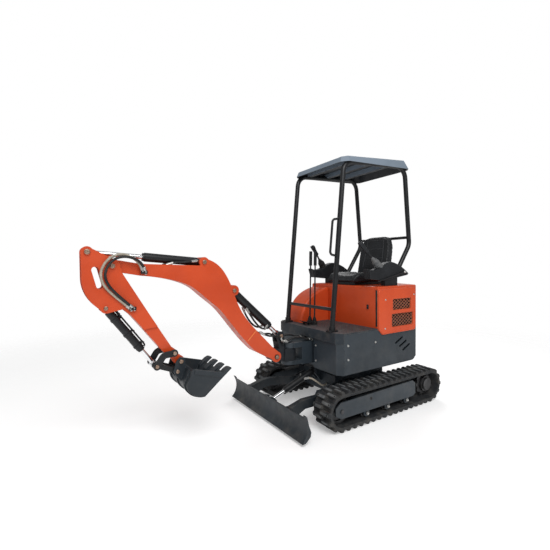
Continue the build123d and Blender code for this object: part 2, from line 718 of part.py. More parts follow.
def upright(centre, radius, z0, z1, mode=Mode.ADD):
    """Upright round bar or bore at a plan-view point."""
    with BuildSketch(plan(z0)) as disc:
        with Locations(centre):
            Circle(radius)
    extrude(disc.sketch, amount=z1 - z0, mode=mode)


SIDE_PANEL_LOW_Z = 696.0
SIDE_PANEL_CUT = 48.0
SIDE_PANEL_ROUND = 24.0
SIDE_PANEL_PROUD = 10.0
SIDE_PANEL_REAR_X = UPPER_REAR_X + 14.0
SIDE_PANEL_FRONT_X = COVER_FRONT_X - 3.0
VENTS = (
    ((-425.0, -163.0), (908.0, 1010.0)),
    ((-455.0, -149.0), (SKIRT_TOP_Z + 12.0, 873.0)),
)
VENT_ROUND = 12.0
VENT_FIT = 0.3
MESH_THICKNESS = 4.0
MESH_HOLE = (22.0, 15.0)
MESH_PITCH = (29.0, 22.0)
SIDE_PANEL_Y = UPPER_HALF_Y + SIDE_PANEL_PROUD
BOTH_SIDES = ((SIDE_PANEL_Y, 1), (-SIDE_PANEL_Y, -1))

with BuildPart() as engine_cover:
    block(UPPER_REAR_X, COVER_FRONT_X, -UPPER_HALF_Y, UPPER_HALF_Y, SKIRT_TOP_Z, COVER_TOP_Z)
    cover_rim = engine_cover.faces().sort_by(Axis.Z)[-1].edges()
    fillet(cover_rim.sort_by(Axis.X)[1:], COVER_ROUND)
    block(
        UPPER_REAR_X,
        COVER_FRONT_X - COVER_PLATE,
        -UPPER_HALF_Y + COVER_PLATE,
        UPPER_HALF_Y - COVER_PLATE,
        SKIRT_TOP_Z,
        COVER_TOP_Z - COVER_PLATE,
        Mode.SUBTRACT,
    )
    for outer_y, inward in BOTH_SIDES:
        with BuildSketch(side(outer_y)) as panel_side:
            with BuildLine():
                FilletPolyline(
                    (SIDE_PANEL_FRONT_X, SIDE_PANEL_LOW_Z + SIDE_PANEL_CUT),
                    (SIDE_PANEL_FRONT_X, COVER_TOP_Z - COVER_ROUND - 2),
                    (SIDE_PANEL_REAR_X, COVER_TOP_Z - COVER_ROUND - 2),
                    (SIDE_PANEL_REAR_X, SIDE_PANEL_LOW_Z),
                    (SIDE_PANEL_FRONT_X - SIDE_PANEL_CUT, SIDE_PANEL_LOW_Z),
                    radius=SIDE_PANEL_ROUND,
                    close=True,
                )
            make_face()
        extrude(panel_side.sketch, amount=inward * SIDE_PANEL_PROUD)
    fillet(engine_cover.faces().sort_by(Axis.Y)[-1].edges(), SIDE_PANEL_PROUD - 2)
    fillet(engine_cover.faces().sort_by(Axis.Y)[0].edges(), SIDE_PANEL_PROUD - 2)
    for outer_y, inward in BOTH_SIDES:
        for (x0, x1), (z0, z1) in VENTS:
            with BuildSketch(side(outer_y)) as vent:
                with Locations(((x0 + x1) / 2, (z0 + z1) / 2)):
                    RectangleRounded(x1 - x0, z1 - z0, VENT_ROUND)
            vent_depth = SIDE_PANEL_PROUD + COVER_PLATE
            extrude(vent.sketch, amount=inward * vent_depth, mode=Mode.SUBTRACT)
    for hinge_z in HINGE_Z:
        upright(BONNET_HINGE, HINGE_KNUCKLE, hinge_z, hinge_z + HINGE_TAB)
        block(
            BONNET_HINGE[0],
            UPPER_REAR_X + 20,
            -UPPER_HALF_Y,
            -UPPER_HALF_Y + COVER_PLATE,
            hinge_z,
            hinge_z + HINGE_TAB,
        )
        upright(BONNET_HINGE, HINGE_PIN, hinge_z, hinge_z + HINGE_TAB + HINGE_LENGTH)

with BuildPart() as side_vents:
    for outer_y, inward in BOTH_SIDES:
        for (x0, x1), (z0, z1) in VENTS:
            columns = int((x1 - x0 - VENT_ROUND) / MESH_PITCH[0])
            rows = int((z1 - z0 - VENT_ROUND) / MESH_PITCH[1])
            with BuildSketch(side(outer_y - inward * SIDE_PANEL_PROUD)) as mesh:
                with Locations(((x0 + x1) / 2, (z0 + z1) / 2)):
                    RectangleRounded(x1 - x0 - 2 * VENT_FIT, z1 - z0 - 2 * VENT_FIT, VENT_ROUND)
                    with GridLocations(*MESH_PITCH, columns, rows):
                        Rectangle(*MESH_HOLE, mode=Mode.SUBTRACT)
            extrude(mesh.sketch, amount=inward * MESH_THICKNESS)

with BuildPart() as engine:
    block(-430, -90, -210, 210, FLOOR_TOP_Z, 860)

# Rear bonnet on its side hinge

with BuildPart() as rear_bonnet:
    with BuildSketch(plan(BONNET_BOTTOM_Z)) as bonnet_plan:
        with BuildLine():
            ThreePointArc(
                (UPPER_REAR_X - BONNET_GAP, BONNET_EDGE_Y),
                (BONNET_TAIL_X, 0),
                (UPPER_REAR_X - BONNET_GAP, -BONNET_EDGE_Y),
            )
            Line(
                (UPPER_REAR_X - BONNET_GAP, -BONNET_EDGE_Y), (UPPER_REAR_X - BONNET_GAP, BONNET_EDGE_Y)
            )
        make_face()
    extrude(bonnet_plan.sketch, amount=COVER_TOP_Z - BONNET_BOTTOM_Z)
    fillet(rear_bonnet.edges().filter_by(GeomType.CIRCLE).sort_by(Axis.Z)[-1], COVER_ROUND)
    with BuildSketch(plan(BONNET_BOTTOM_Z)) as bonnet_inside:
        with BuildLine():
            ThreePointArc(
                (UPPER_REAR_X - BONNET_GAP, UPPER_HALF_Y - 30),
                (BONNET_TAIL_X + COVER_PLATE, 0),
                (UPPER_REAR_X - BONNET_GAP, -UPPER_HALF_Y + 30),
            )
            Line(
                (UPPER_REAR_X - BONNET_GAP, -UPPER_HALF_Y + 30),
                (UPPER_REAR_X - BONNET_GAP, UPPER_HALF_Y - 30),
            )
        make_face()
    extrude(bonnet_inside.sketch, amount=COVER_TOP_Z - COVER_PLATE - BONNET_BOTTOM_Z, mode=Mode.SUBTRACT)
    for hinge_z in HINGE_Z:
        knuckle_z = hinge_z + HINGE_TAB + 0.5
        upright(BONNET_HINGE, HINGE_KNUCKLE + 6, hinge_z - 6, knuckle_z, Mode.SUBTRACT)
        upright(BONNET_HINGE, HINGE_KNUCKLE, knuckle_z, hinge_z + HINGE_TAB + HINGE_LENGTH)
        upright(BONNET_HINGE, HINGE_PIN + RUN, knuckle_z, hinge_z + HINGE_TAB + HINGE_LENGTH, Mode.SUBTRACT)

# Tank cover on the right, falling to the deck in one long curve
TANK_CURVE = ((171.0, 1058.0), (294.0, 976.0), (364.0, 862.0))
TANK_FRONT_X = 388.0
TANK_TOP_Z = 1098.0
TANK_LEFT_Y = -205.0
TANK_ROUND = 26.0

with BuildPart() as tank_cover:
    with BuildSketch(side(TANK_LEFT_Y)) as tank_side:
        with BuildLine():
            Polyline((COVER_FRONT_X, TANK_TOP_Z), (COVER_FRONT_X, DECK_TOP_Z), (TANK_FRONT_X, DECK_TOP_Z))
            Spline((TANK_FRONT_X, DECK_TOP_Z), *reversed(TANK_CURVE), (COVER_FRONT_X, TANK_TOP_Z))
        make_face()
    extrude(tank_side.sketch, amount=UPPER_HALF_Y + TANK_LEFT_Y - 14)
    fillet(tank_cover.edges().filter_by(GeomType.BSPLINE), TANK_ROUND)
    split(bisect_by=plan(DECK_TOP_Z), keep=Keep.TOP)

# Seat, consoles and levers
SEAT_HALF_Y = 225.0
CUSHION = (-400.0, 60.0)
SEAT_PAN_HEIGHT = 28.0
CUSHION_THICKNESS = 112.0
SEAT_BACK_TOP = (-482.0, 1645.0)
SEAT_BACK_DEPTH = 74.0
CUSHION_ROUND = 45.0
CUSHION_EDGE = 28.0
SEAT_FIT = 0.3
SEAT_SHOULDER = 120.0
SEAT_TAPER = 50.0
SEAT_BACK_EDGE = 18.0
CUSHION_Z = (COVER_TOP_Z + SEAT_PAN_HEIGHT, COVER_TOP_Z + SEAT_PAN_HEIGHT + CUSHION_THICKNESS)

with BuildPart() as seat_pan:
    block(CUSHION[0] - SEAT_BACK_DEPTH, 0, -150, 150, COVER_TOP_Z, CUSHION_Z[0])

with BuildPart() as seat_cushion:
    block(CUSHION[0], CUSHION[1], -SEAT_HALF_Y, SEAT_HALF_Y, CUSHION_Z[0], CUSHION_Z[1])
    fillet(seat_cushion.edges().filter_by(Axis.Z), CUSHION_ROUND)
    fillet(seat_cushion.faces().sort_by(Axis.Z)[-1].edges(), CUSHION_EDGE)

with BuildPart() as seat_back:
    with BuildSketch(side(SEAT_HALF_Y)) as back_side:
        with BuildLine():
            Polyline(
                (CUSHION[0] - SEAT_FIT, CUSHION_Z[0]),
                SEAT_BACK_TOP,
                (SEAT_BACK_TOP[0] - SEAT_BACK_DEPTH, SEAT_BACK_TOP[1]),
                (CUSHION[0] - SEAT_BACK_DEPTH - 40, CUSHION_Z[0]),
                close=True,
            )
        make_face()
    extrude(back_side.sketch, amount=2 * SEAT_HALF_Y)
    with BuildSketch(front(0)) as back_front:
        with BuildLine():
            FilletPolyline(
                (-SEAT_HALF_Y, COVER_TOP_Z),
                (-SEAT_HALF_Y, SEAT_BACK_TOP[1] - SEAT_SHOULDER),
                (-SEAT_HALF_Y + SEAT_TAPER, SEAT_BACK_TOP[1]),
                (SEAT_HALF_Y - SEAT_TAPER, SEAT_BACK_TOP[1]),
                (SEAT_HALF_Y, SEAT_BACK_TOP[1] - SEAT_SHOULDER),
                (SEAT_HALF_Y, COVER_TOP_Z),
                radius=CUSHION_ROUND,
            )
            Line((SEAT_HALF_Y, COVER_TOP_Z), (-SEAT_HALF_Y, COVER_TOP_Z))
        make_face()
    extrude(back_front.sketch, amount=-1000, mode=Mode.INTERSECT)
    fillet(seat_back.faces().sort_by(Axis.X)[-1].edges().sort_by(Axis.Z)[1:], SEAT_BACK_EDGE)

# Arm consoles outside the rear posts, points as x and height above the cover
CONSOLE_Y = (CANOPY_POST_Y + POST_RADIUS + 6.0, CANOPY_POST_Y + POST_RADIUS + 78.0)
CONSOLE_UPPER = (
    (112.0, 162.0),
    (-5.0, 158.0),
    (-75.0, 186.0),
    (-180.0, 224.0),
    (-235.0, 218.0),
    (-370.0, 166.0),
    (-448.0, 116.0),
)
CONSOLE_LOWER = ((-425.0, 96.0), (-95.0, 50.0), (82.0, 68.0))
CONSOLE_EDGE = 14.0
PEDESTAL_X = (-290.0, -120.0)
PEDESTAL_INSET = 10.0

with BuildPart() as consoles:
    with BuildSketch(side(CONSOLE_Y[1])) as console_side:
        with BuildLine():
            upper_line = [(x, COVER_TOP_Z + height) for x, height in CONSOLE_UPPER]
            lower_line = [(x, COVER_TOP_Z + height) for x, height in CONSOLE_LOWER]
            Spline(*upper_line)
            Polyline(upper_line[-1], *lower_line, upper_line[0])
        make_face()
    extrude(console_side.sketch, amount=CONSOLE_Y[1] - CONSOLE_Y[0])
    fillet(consoles.edges().filter_by(GeomType.BSPLINE), CONSOLE_EDGE)
    block(
        PEDESTAL_X[0],
        PEDESTAL_X[1],
        CONSOLE_Y[0] + PEDESTAL_INSET,
        CONSOLE_Y[1] - PEDESTAL_INSET,
        COVER_TOP_Z,
        COVER_TOP_Z + CONSOLE_LOWER[0][1],
    )
    mirror(about=Plane.XZ)

# Joysticks on the consoles and travel levers on the deck
STICK_FOOT = (-73.0, (CONSOLE_Y[0] + CONSOLE_Y[1]) / 2, COVER_TOP_Z + 172.0)
STICK_TOP = (118.0, CANOPY_POST_Y + 10.0, 1520.0)
STICK_RADIUS = 9.0
STICK_BOOT = (30.0, 70.0)
STICK_GRIP = (18.0, 105.0)
LEVER_X = 335.0
LEVER_TOP = (318.0, 1465.0)
LEVER_Y = (-125.0, -55.0)
LEVER_RADIUS = 7.0
LEVER_GRIP = (15.0, 140.0)

with BuildPart() as control_levers:
    stick_way = Vector(*space(*STICK_TOP)) - Vector(*space(*STICK_FOOT))
    stick_plane = Plane(origin=space(*STICK_FOOT), z_dir=stick_way)
    with BuildSketch(stick_plane) as boot:
        Circle(STICK_BOOT[0])
    extrude(boot.sketch, amount=STICK_BOOT[1], taper=14)
    with BuildSketch(stick_plane) as stick:
        Circle(STICK_RADIUS)
    extrude(stick.sketch, amount=stick_way.length)
    with BuildSketch(stick_plane.offset(stick_way.length - STICK_GRIP[1])) as grip:
        Circle(STICK_GRIP[0])
    extrude(grip.sketch, amount=STICK_GRIP[1])
    fillet(control_levers.faces().sort_by(Axis.Z)[-1].edges(), STICK_RADIUS)
    add(consoles.part, mode=Mode.SUBTRACT)
    mirror(about=Plane.XZ)
    for lever_y in LEVER_Y:
        block(LEVER_X - 22, LEVER_X + 22, lever_y - 18, lever_y + 18, DECK_TOP_Z, DECK_TOP_Z + 30)
        lever_plane = along((LEVER_X, DECK_TOP_Z), LEVER_TOP, lever_y)
        lever_length = math.dist((LEVER_X, DECK_TOP_Z), LEVER_TOP)
        with BuildSketch(lever_plane.offset(LEVER_RADIUS)) as lever:
            Circle(LEVER_RADIUS)
        extrude(lever.sketch, amount=lever_length - LEVER_RADIUS)
        with BuildSketch(lever_plane.offset(lever_length - LEVER_GRIP[1])) as handle:
            Circle(LEVER_GRIP[0])
        extrude(handle.sketch, amount=LEVER_GRIP[1])

# Canopy: two side hoops of bent tube, cross bars, roof and grab handle
HOOP_TAIL = 40.0
HOOP_LINE = (
    point_on(FRONT_POST_FOOT, HOOP_FRONT, -HOOP_TAIL),
    HOOP_FRONT,
    HOOP_REAR,
    HOOP_KNEE,
    point_on(REAR_POST_FOOT, HOOP_KNEE, -HOOP_TAIL),
)
FOOT_FLANGE = (100.0, 60.0, 12.0)
FOOT_ROUND = 14.0
SLEEVE = (28.0, 46.0)


def hoops(radius, mode=Mode.ADD):
    """Both hoops from below the deck, over the roof's rails and down into the engine cover."""
    for post_y in (-CANOPY_POST_Y, CANOPY_POST_Y):
        with BuildLine() as run:
            FilletPolyline(*[space(x, post_y, z) for x, z in HOOP_LINE], radius=HOOP_BEND)
        with BuildSketch(Plane(origin=run.line @ 0, z_dir=run.line % 0)) as tube:
            Circle(radius)
        sweep(tube.sketch, path=run.line, mode=mode)


def feet(foot, way):
    """Flange and sleeve where a pair of posts stands."""
    for post_y in (-CANOPY_POST_Y, CANOPY_POST_Y):
        with BuildSketch(plan(foot[1])) as flange:
            with Locations((foot[0], post_y)):
                RectangleRounded(FOOT_FLANGE[0], FOOT_FLANGE[1], FOOT_ROUND)
        extrude(flange.sketch, amount=FOOT_FLANGE[2])
        with BuildSketch(along(foot, way, post_y)) as sleeve:
            Circle(SLEEVE[0])
        extrude(sleeve.sketch, amount=SLEEVE[1])


with BuildPart() as canopy_posts_front:
    hoops(POST_RADIUS)
    feet(FRONT_POST_FOOT, HOOP_FRONT)
    split(bisect_by=front(HOOP_JOIN_X), keep=Keep.TOP)
    split(bisect_by=plan(DECK_TOP_Z), keep=Keep.TOP)

with BuildPart() as canopy_posts_rear:
    hoops(POST_RADIUS)
    feet(REAR_POST_FOOT, HOOP_KNEE)
    split(bisect_by=front(HOOP_JOIN_X), keep=Keep.BOTTOM)
    split(bisect_by=plan(COVER_TOP_Z), keep=Keep.TOP)


def sloped(front_point, rear_point):
    """Plane through two side-view points, level across the machine and facing up."""
    slope = math.atan2(rear_point[1] - front_point[1], front_point[0] - rear_point[0])
    return Plane(
        origin=space((front_point[0] + rear_point[0]) / 2, 0, (front_point[1] + rear_point[1]) / 2),
        x_dir=(math.cos(slope), 0, -math.sin(slope)),
        z_dir=(math.sin(slope), 0, math.cos(slope)),
    )


def height_between(low, high, x):
    """Height at x on the side-view line through two points."""
    return low[1] + (high[1] - low[1]) * (x - low[0]) / (high[0] - low[0])


ROOF_LENGTH = math.dist(ROOF_LOW_FRONT, ROOF_LOW_REAR)
ROOF_DEPTH = 160.0
ROOF_EDGE = 8.0
ROOF_RIBS_X = (180.0, -75.0, -330.0)
ROOF_RIB = 40.0
roof_low = sloped(ROOF_LOW_FRONT, ROOF_LOW_REAR)
roof_high = sloped(ROOF_HIGH_FRONT, ROOF_HIGH_REAR)


def lid(inset, ceiling):
    """Tapered lid with clipped corners, from the rim's lower edge up to a sloping ceiling."""
    with BuildSketch(roof_low) as rim:
        Rectangle(ROOF_LENGTH - 2 * inset, 2 * (ROOF_HALF_Y - inset))
        chamfer(rim.vertices(), ROOF_CORNER)
    extrude(rim.sketch, amount=ROOF_DEPTH, taper=ROOF_DRAFT)
    split(bisect_by=ceiling, keep=Keep.BOTTOM)


with BuildPart() as roof_hollow:
    lid(ROOF_SKIN, roof_high.offset(-ROOF_SKIN))
    for rib_x in ROOF_RIBS_X:
        block(
            rib_x - ROOF_RIB / 2,
            rib_x + ROOF_RIB / 2,
            -ROOF_HALF_Y,
            ROOF_HALF_Y,
            height_between(HOOP_FRONT, HOOP_REAR, rib_x),
            ROOF_HIGH_REAR[1],
            Mode.SUBTRACT,
        )

with BuildPart() as canopy_roof:
    lid(0.0, roof_high)
    fillet(canopy_roof.faces().sort_by(Axis.Z)[-1].edges(), ROOF_EDGE)
    add(roof_hollow.part, mode=Mode.SUBTRACT)
    hoops(POST_RADIUS + SEAT_GAP, Mode.SUBTRACT)

front_lean = (HOOP_FRONT[0] - FRONT_POST_FOOT[0]) / (HOOP_FRONT[1] - FRONT_POST_FOOT[1])
rear_lean = (HOOP_REAR[0] - HOOP_KNEE[0]) / (HOOP_REAR[1] - HOOP_KNEE[1])


def front_post_x(z):
    """Middle of the front posts at this height."""
    return FRONT_POST_FOOT[0] + (z - FRONT_POST_FOOT[1]) * front_lean


def rear_post_x(z):
    """Middle of the rear posts at this height above their knee."""
    return HOOP_KNEE[0] + (z - HOOP_KNEE[1]) * rear_lean


BAR_REACH = CANOPY_POST_Y - POST_RADIUS
BAR_RADIUS = 15.0
REAR_BAR_Z = 1600.0

with BuildPart() as canopy_bars:
    shaft((front_post_x(CROSSBAR_Z), CROSSBAR_Z), BAR_RADIUS, -BAR_REACH, BAR_REACH)
    shaft((rear_post_x(REAR_BAR_Z), REAR_BAR_Z), BAR_RADIUS, -BAR_REACH, BAR_REACH)

HANDLE_Z = (1729.0, 1410.0)
HANDLE_REACH = 82.0

with BuildPart() as grab_handle:
    with BuildLine() as grip_line:
        FilletPolyline(
            space(front_post_x(HANDLE_Z[0]) + POST_RADIUS - 6, CANOPY_POST_Y, HANDLE_Z[0]),
            space(front_post_x(HANDLE_Z[0]) + HANDLE_REACH, CANOPY_POST_Y, HANDLE_Z[0] - 10),
            space(front_post_x(HANDLE_Z[1]) + HANDLE_REACH, CANOPY_POST_Y, HANDLE_Z[1] + 10),
            space(front_post_x(HANDLE_Z[1]) + POST_RADIUS - 6, CANOPY_POST_Y, HANDLE_Z[1]),
            radius=30,
        )
    with BuildSketch(Plane(origin=grip_line.line @ 0, z_dir=grip_line.line % 0)) as grip_tube:
        Circle(10)
    sweep(grip_tube.sketch, path=grip_line.line)
    add(canopy_posts_front.part, mode=Mode.SUBTRACT)

# Swing post: a barrel on the king pin, an arm into the boom's fork and two ears for the boom's cylinder
KNUCKLE_RADIUS = 62.0
COLUMN_X = SWING_X + 76.0
FOOT_ARM = 44.0
EAR_RADIUS = 38.0
EAR_GAP = EYE_HALF + 3.0
EAR_DEPTH = 54.0
PIN_PROUD = 10.0

with BuildPart() as swing_post:
    with BuildSketch(plan(NOSE_LOW[1] + RING_GAP)) as knuckle:
        with Locations((SWING_X, 0)):
            Circle(KNUCKLE_RADIUS)
        with Locations(((SWING_X + COLUMN_X) / 2 + 2, 0)):
            Rectangle(COLUMN_X - SWING_X + 4, 2 * KNUCKLE_RADIUS)
    extrude(knuckle.sketch, amount=NOSE_HIGH[0] - NOSE_LOW[1] - 2 * RING_GAP)
    slab(
        [
            (COLUMN_X, NOSE_LOW[1] + RING_GAP),
            (BOOM_FOOT[0], BOOM_FOOT[1] - FOOT_ARM),
            (BOOM_FOOT[0], BOOM_FOOT[1] + FOOT_ARM),
            (BOOM_FOOT[0] - FOOT_ARM + 7, BOOM_FOOT[1] + FOOT_ARM + 16),
            (BOOM_CYL_POST[0] + EAR_RADIUS, BOOM_CYL_POST[1]),
            (BOOM_CYL_POST[0] - EAR_RADIUS, BOOM_CYL_POST[1]),
        ],
        -POST_HALF,
        POST_HALF,
    )
    shaft(BOOM_FOOT, FOOT_ARM, -POST_HALF, POST_HALF)
    shaft(BOOM_CYL_POST, EAR_RADIUS, -POST_HALF, POST_HALF)
    slab(
        [
            (BOOM_CYL_POST[0] - EAR_RADIUS - EAR_DEPTH, BOOM_CYL_POST[1] - EAR_DEPTH),
            (BOOM_CYL_POST[0] + EAR_RADIUS + EAR_DEPTH, BOOM_CYL_POST[1] - EAR_DEPTH),
            (BOOM_CYL_POST[0] + EAR_RADIUS + EAR_DEPTH, BOOM_CYL_POST[1] + EAR_DEPTH),
            (BOOM_CYL_POST[0] - EAR_RADIUS - EAR_DEPTH, BOOM_CYL_POST[1] + EAR_DEPTH),
        ],
        -EAR_GAP,
        EAR_GAP,
        Mode.SUBTRACT,
    )
    twin_shaft(BOOM_CYL_POST, PIN_RADIUS, EAR_GAP, POST_HALF + PIN_PROUD)
    shaft(BOOM_FOOT, PIN_RADIUS, -BOOM_HALF - PIN_PROUD, BOOM_HALF + PIN_PROUD)
    with BuildSketch(plan(NOSE_LOW[1])) as king_bore:
        with Locations((SWING_X, 0)):
            Circle(SWING_PIN + RUN)
    extrude(king_bore.sketch, amount=NOSE_HIGH[0] - NOSE_LOW[1], mode=Mode.SUBTRACT)

# Boom: a gooseneck box with a forked foot, a narrow nose and slots for the cylinders' eyes
BOOM_HEEL = (838.0, 494.0)
BOOM_CHIN = (1052.0, 614.0)
BOOM_LOWER = (
    (1175.0, 742.0),
    (1282.0, 877.0),
    (1394.0, 1009.0),
    (1490.0, 1090.0),
    (1595.0, 1176.0),
    (1700.0, 1222.0),
)
BOOM_NECK_LOW = (1960.0, 1270.0)
BOOM_NECK_HIGH = (1960.0, 1352.0)
BOOM_BRACKET_FOOT = (1532.0, 1336.0)
BOOM_BRACKET = (1482.0, 1386.0)
BOOM_UPPER = (
    (1425.0, 1366.0),
    (1367.0, 1324.0),
    (1322.0, 1268.0),
    (1283.0, 1196.0),
    (1240.0, 1084.0),
    (1192.0, 976.0),
    (1055.0, 800.0),
)
BOOM_BROW = (900.0, 640.0)
BOOM_TIP = (805.0, 560.0)
NOSE_ROOT_X = BOOM_NECK_LOW[0] - 20.0
NOSE_FRONT_X = ARM_PIVOT[0] - 48.0
NOSE_BOSS = 45.0
FOOT_BOSS = 46.0
FORK_DEPTH = FOOT_ARM + 12.0
FORK_ROOM = 20.0
EYE_ROOM = 8.0

with BuildPart() as boom:
    with BuildSketch(side(BOOM_HALF)) as boom_side:
        with BuildLine():
            Polyline(BOOM_TIP, BOOM_HEEL, BOOM_CHIN)
            Spline(BOOM_CHIN, *BOOM_LOWER, BOOM_NECK_LOW)
            Polyline(BOOM_NECK_LOW, BOOM_NECK_HIGH, BOOM_BRACKET_FOOT, BOOM_BRACKET)
            Spline(BOOM_BRACKET, *BOOM_UPPER, BOOM_BROW)
            Line(BOOM_BROW, BOOM_TIP)
        make_face()
    extrude(boom_side.sketch, amount=2 * BOOM_HALF)
    shaft(BOOM_FOOT, FOOT_BOSS, -BOOM_HALF, BOOM_HALF)
    slab(
        [
            (BOOM_TIP[0] - FORK_ROOM, BOOM_HEEL[1] - FORK_ROOM),
            (BOOM_FOOT[0] + FORK_DEPTH, BOOM_HEEL[1] - FORK_ROOM),
            (BOOM_FOOT[0] + FORK_DEPTH, BOOM_BROW[1] + FORK_ROOM),
            (BOOM_TIP[0] - FORK_ROOM, BOOM_BROW[1] + FORK_ROOM),
        ],
        -FORK_IN,
        FORK_IN,
        Mode.SUBTRACT,
    )
    slab(
        [
            (NOSE_ROOT_X, BOOM_NECK_LOW[1] - 3),
            (NOSE_FRONT_X, ARM_PIVOT[1] - NOSE_BOSS + 1),
            (ARM_PIVOT[0] + 4, ARM_PIVOT[1] - NOSE_BOSS + 1),
            (ARM_PIVOT[0] + 4, ARM_PIVOT[1] + NOSE_BOSS - 1),
            (NOSE_FRONT_X, ARM_PIVOT[1] + NOSE_BOSS - 7),
            (NOSE_ROOT_X, BOOM_NECK_HIGH[1] - 3),
        ],
        -NOSE_HALF,
        NOSE_HALF,
    )
    shaft(ARM_PIVOT, NOSE_BOSS, -NOSE_HALF, NOSE_HALF)
    shaft(BOOM_CYL_BOOM, EYE_RADIUS + 15, -BOOM_HALF, BOOM_HALF)
    shaft(ARM_CYL_BOOM, EYE_RADIUS + 11, -BOOM_HALF, BOOM_HALF)
    shaft(BOOM_CYL_BOOM, EYE_RADIUS + EYE_ROOM, -EYE_HALF - 3, EYE_HALF + 3, Mode.SUBTRACT)
    shaft(ARM_CYL_BOOM, EYE_RADIUS + EYE_ROOM, -EYE_HALF - 3, EYE_HALF + 3, Mode.SUBTRACT)
    with BuildSketch(along(BOOM_CYL_BOOM, BOOM_CYL_POST)) as boom_channel:
        with Locations((0, EYE_ROOM)):
            Rectangle(2 * BOOM_CYL[0] + 14, 2 * BOOM_CYL[0] + 30)
    extrude(boom_channel.sketch, amount=300, mode=Mode.SUBTRACT)
    with BuildSketch(along(ARM_CYL_BOOM, ARM_CYL_ARM)) as arm_channel:
        Rectangle(2 * ARM_CYL[0] + 14, 2 * ARM_CYL[0] + 14)
    extrude(arm_channel.sketch, amount=300, mode=Mode.SUBTRACT)
    shaft(BOOM_CYL_BOOM, SMALL_PIN_RADIUS + 4, -BOOM_HALF - 8, BOOM_HALF + 8)
    shaft(ARM_CYL_BOOM, SMALL_PIN_RADIUS + 4, -BOOM_HALF - 8, BOOM_HALF + 8)
    shaft(BOOM_FOOT, PIN_RADIUS + RUN, -BOOM_HALF, BOOM_HALF, Mode.SUBTRACT)
    shaft(ARM_PIVOT, PIN_RADIUS + RUN, -NOSE_HALF, NOSE_HALF, Mode.SUBTRACT)

with BuildPart() as boom_barrel:
    make_barrel(BOOM_CYL_BOOM, BOOM_CYL_POST, BOOM_CYL, SMALL_PIN_RADIUS + 4, EYE_HALF)

with BuildPart() as boom_rod:
    make_rod(BOOM_CYL_BOOM, BOOM_CYL_POST, BOOM_CYL, SMALL_PIN_RADIUS + 4, EYE_HALF)

# Arm: two crescent plates on a box beam
ARM_THROAT = (2074.0, 1284.0)
ARM_WAIST_IN = (1903.0, 993.0)
ARM_WAIST_LOW = (1850.0, 905.0)
ARM_WAIST_OUT = (1945.0, 893.0)
ARM_SHIN = ((2028.0, 1000.0), (2078.0, 1046.0))
ARM_CALF = (BUCKET_CYL_ARM[0] + 17.0, BUCKET_CYL_ARM[1] - 18.0)
ARM_BACK_Z = 1260.0
ARM_BACK_RADIUS = 258.0
ARM_SLOT = (2228.0, 1262.0)
ARM_SLOT_SIZE = (150.0, 44.0)
ARM_SLOT_ANGLE = 76.0
ARM_BEAM = [
    (2044.0, 1234.0),
    (1903.0, 993.0),
    (1725.0, 700.0),
    (1664.0, 652.0),
    (BUCKET_PIN[0] + 8, BUCKET_PIN[1] - 36),
    (1825.0, 735.0),
    (2028.0, 1000.0),
    (2078.0, 1064.0),
    (2110.0, 1120.0),
    (2130.0, 1234.0),
]

with BuildPart() as arm:
    for y0, y1 in ((ARM_PLATE_IN, ARM_PLATE_OUT), (-ARM_PLATE_OUT, -ARM_PLATE_IN)):
        with BuildSketch(side(y1)) as crescent:
            with BuildLine():
                Polyline(
                    (ARM_PIVOT[0] - 8, ARM_PIVOT[1] + 48),
                    (ARM_PIVOT[0] - 50, ARM_PIVOT[1] - 8),
                    ARM_THROAT,
                    ARM_WAIST_IN,
                    ARM_WAIST_LOW,
                    ARM_WAIST_OUT,
                    *ARM_SHIN,
                    (BUCKET_CYL_ARM[0] - 10, BUCKET_CYL_ARM[1] - 34),
                    ARM_CALF,
                )
                RadiusArc(ARM_CALF, (FRONT_REACH, ARM_BACK_Z), -ARM_BACK_RADIUS)
                Polyline(
                    (FRONT_REACH, ARM_BACK_Z),
                    (FRONT_REACH, ARM_CYL_ARM[1]),
                    (ARM_CYL_ARM[0], ARM_CYL_ARM[1] + ARM_TOP_BOSS),
                    (ARM_PIVOT[0] - 8, ARM_PIVOT[1] + 48),
                )
            make_face()
        extrude(crescent.sketch, amount=y1 - y0)
    slab(ARM_BEAM, -ARM_PLATE_IN, ARM_PLATE_IN)
    twin_shaft(ARM_CYL_ARM, ARM_TOP_BOSS, ARM_PLATE_IN, ARM_PLATE_OUT)
    twin_shaft(ARM_PIVOT, 50, ARM_PLATE_IN, ARM_PLATE_OUT)
    twin_shaft(BUCKET_CYL_ARM, 34, ARM_PLATE_IN, ARM_PLATE_OUT)
    shaft(BUCKET_PIN, 36, -ARM_END_HALF, ARM_END_HALF)
    shaft(ROCKER_PIN, 26, -ARM_END_HALF, ARM_END_HALF)
    shaft(ARM_PIVOT, PIN_RADIUS, -ARM_PLATE_OUT - 10, ARM_PLATE_OUT + 10)
    shaft(BUCKET_CYL_ARM, SMALL_PIN_RADIUS, -ARM_PLATE_OUT - 8, ARM_PLATE_OUT + 8)
    twin_shaft(ARM_CYL_ARM, PIN_RADIUS, ARM_PLATE_OUT, ARM_PLATE_OUT + 10)
    with BuildSketch(side(ARM_PLATE_OUT)) as hose_slot:
        with Locations(Location(ARM_SLOT, ARM_SLOT_ANGLE)):
            SlotOverall(*ARM_SLOT_SIZE)
    extrude(hose_slot.sketch, amount=2 * ARM_PLATE_OUT, mode=Mode.SUBTRACT)
    shaft(BUCKET_PIN, PIN_RADIUS - 4 + RUN, -ARM_END_HALF, ARM_END_HALF, Mode.SUBTRACT)
    shaft(ROCKER_PIN, SMALL_PIN_RADIUS + RUN, -ARM_END_HALF, ARM_END_HALF, Mode.SUBTRACT)

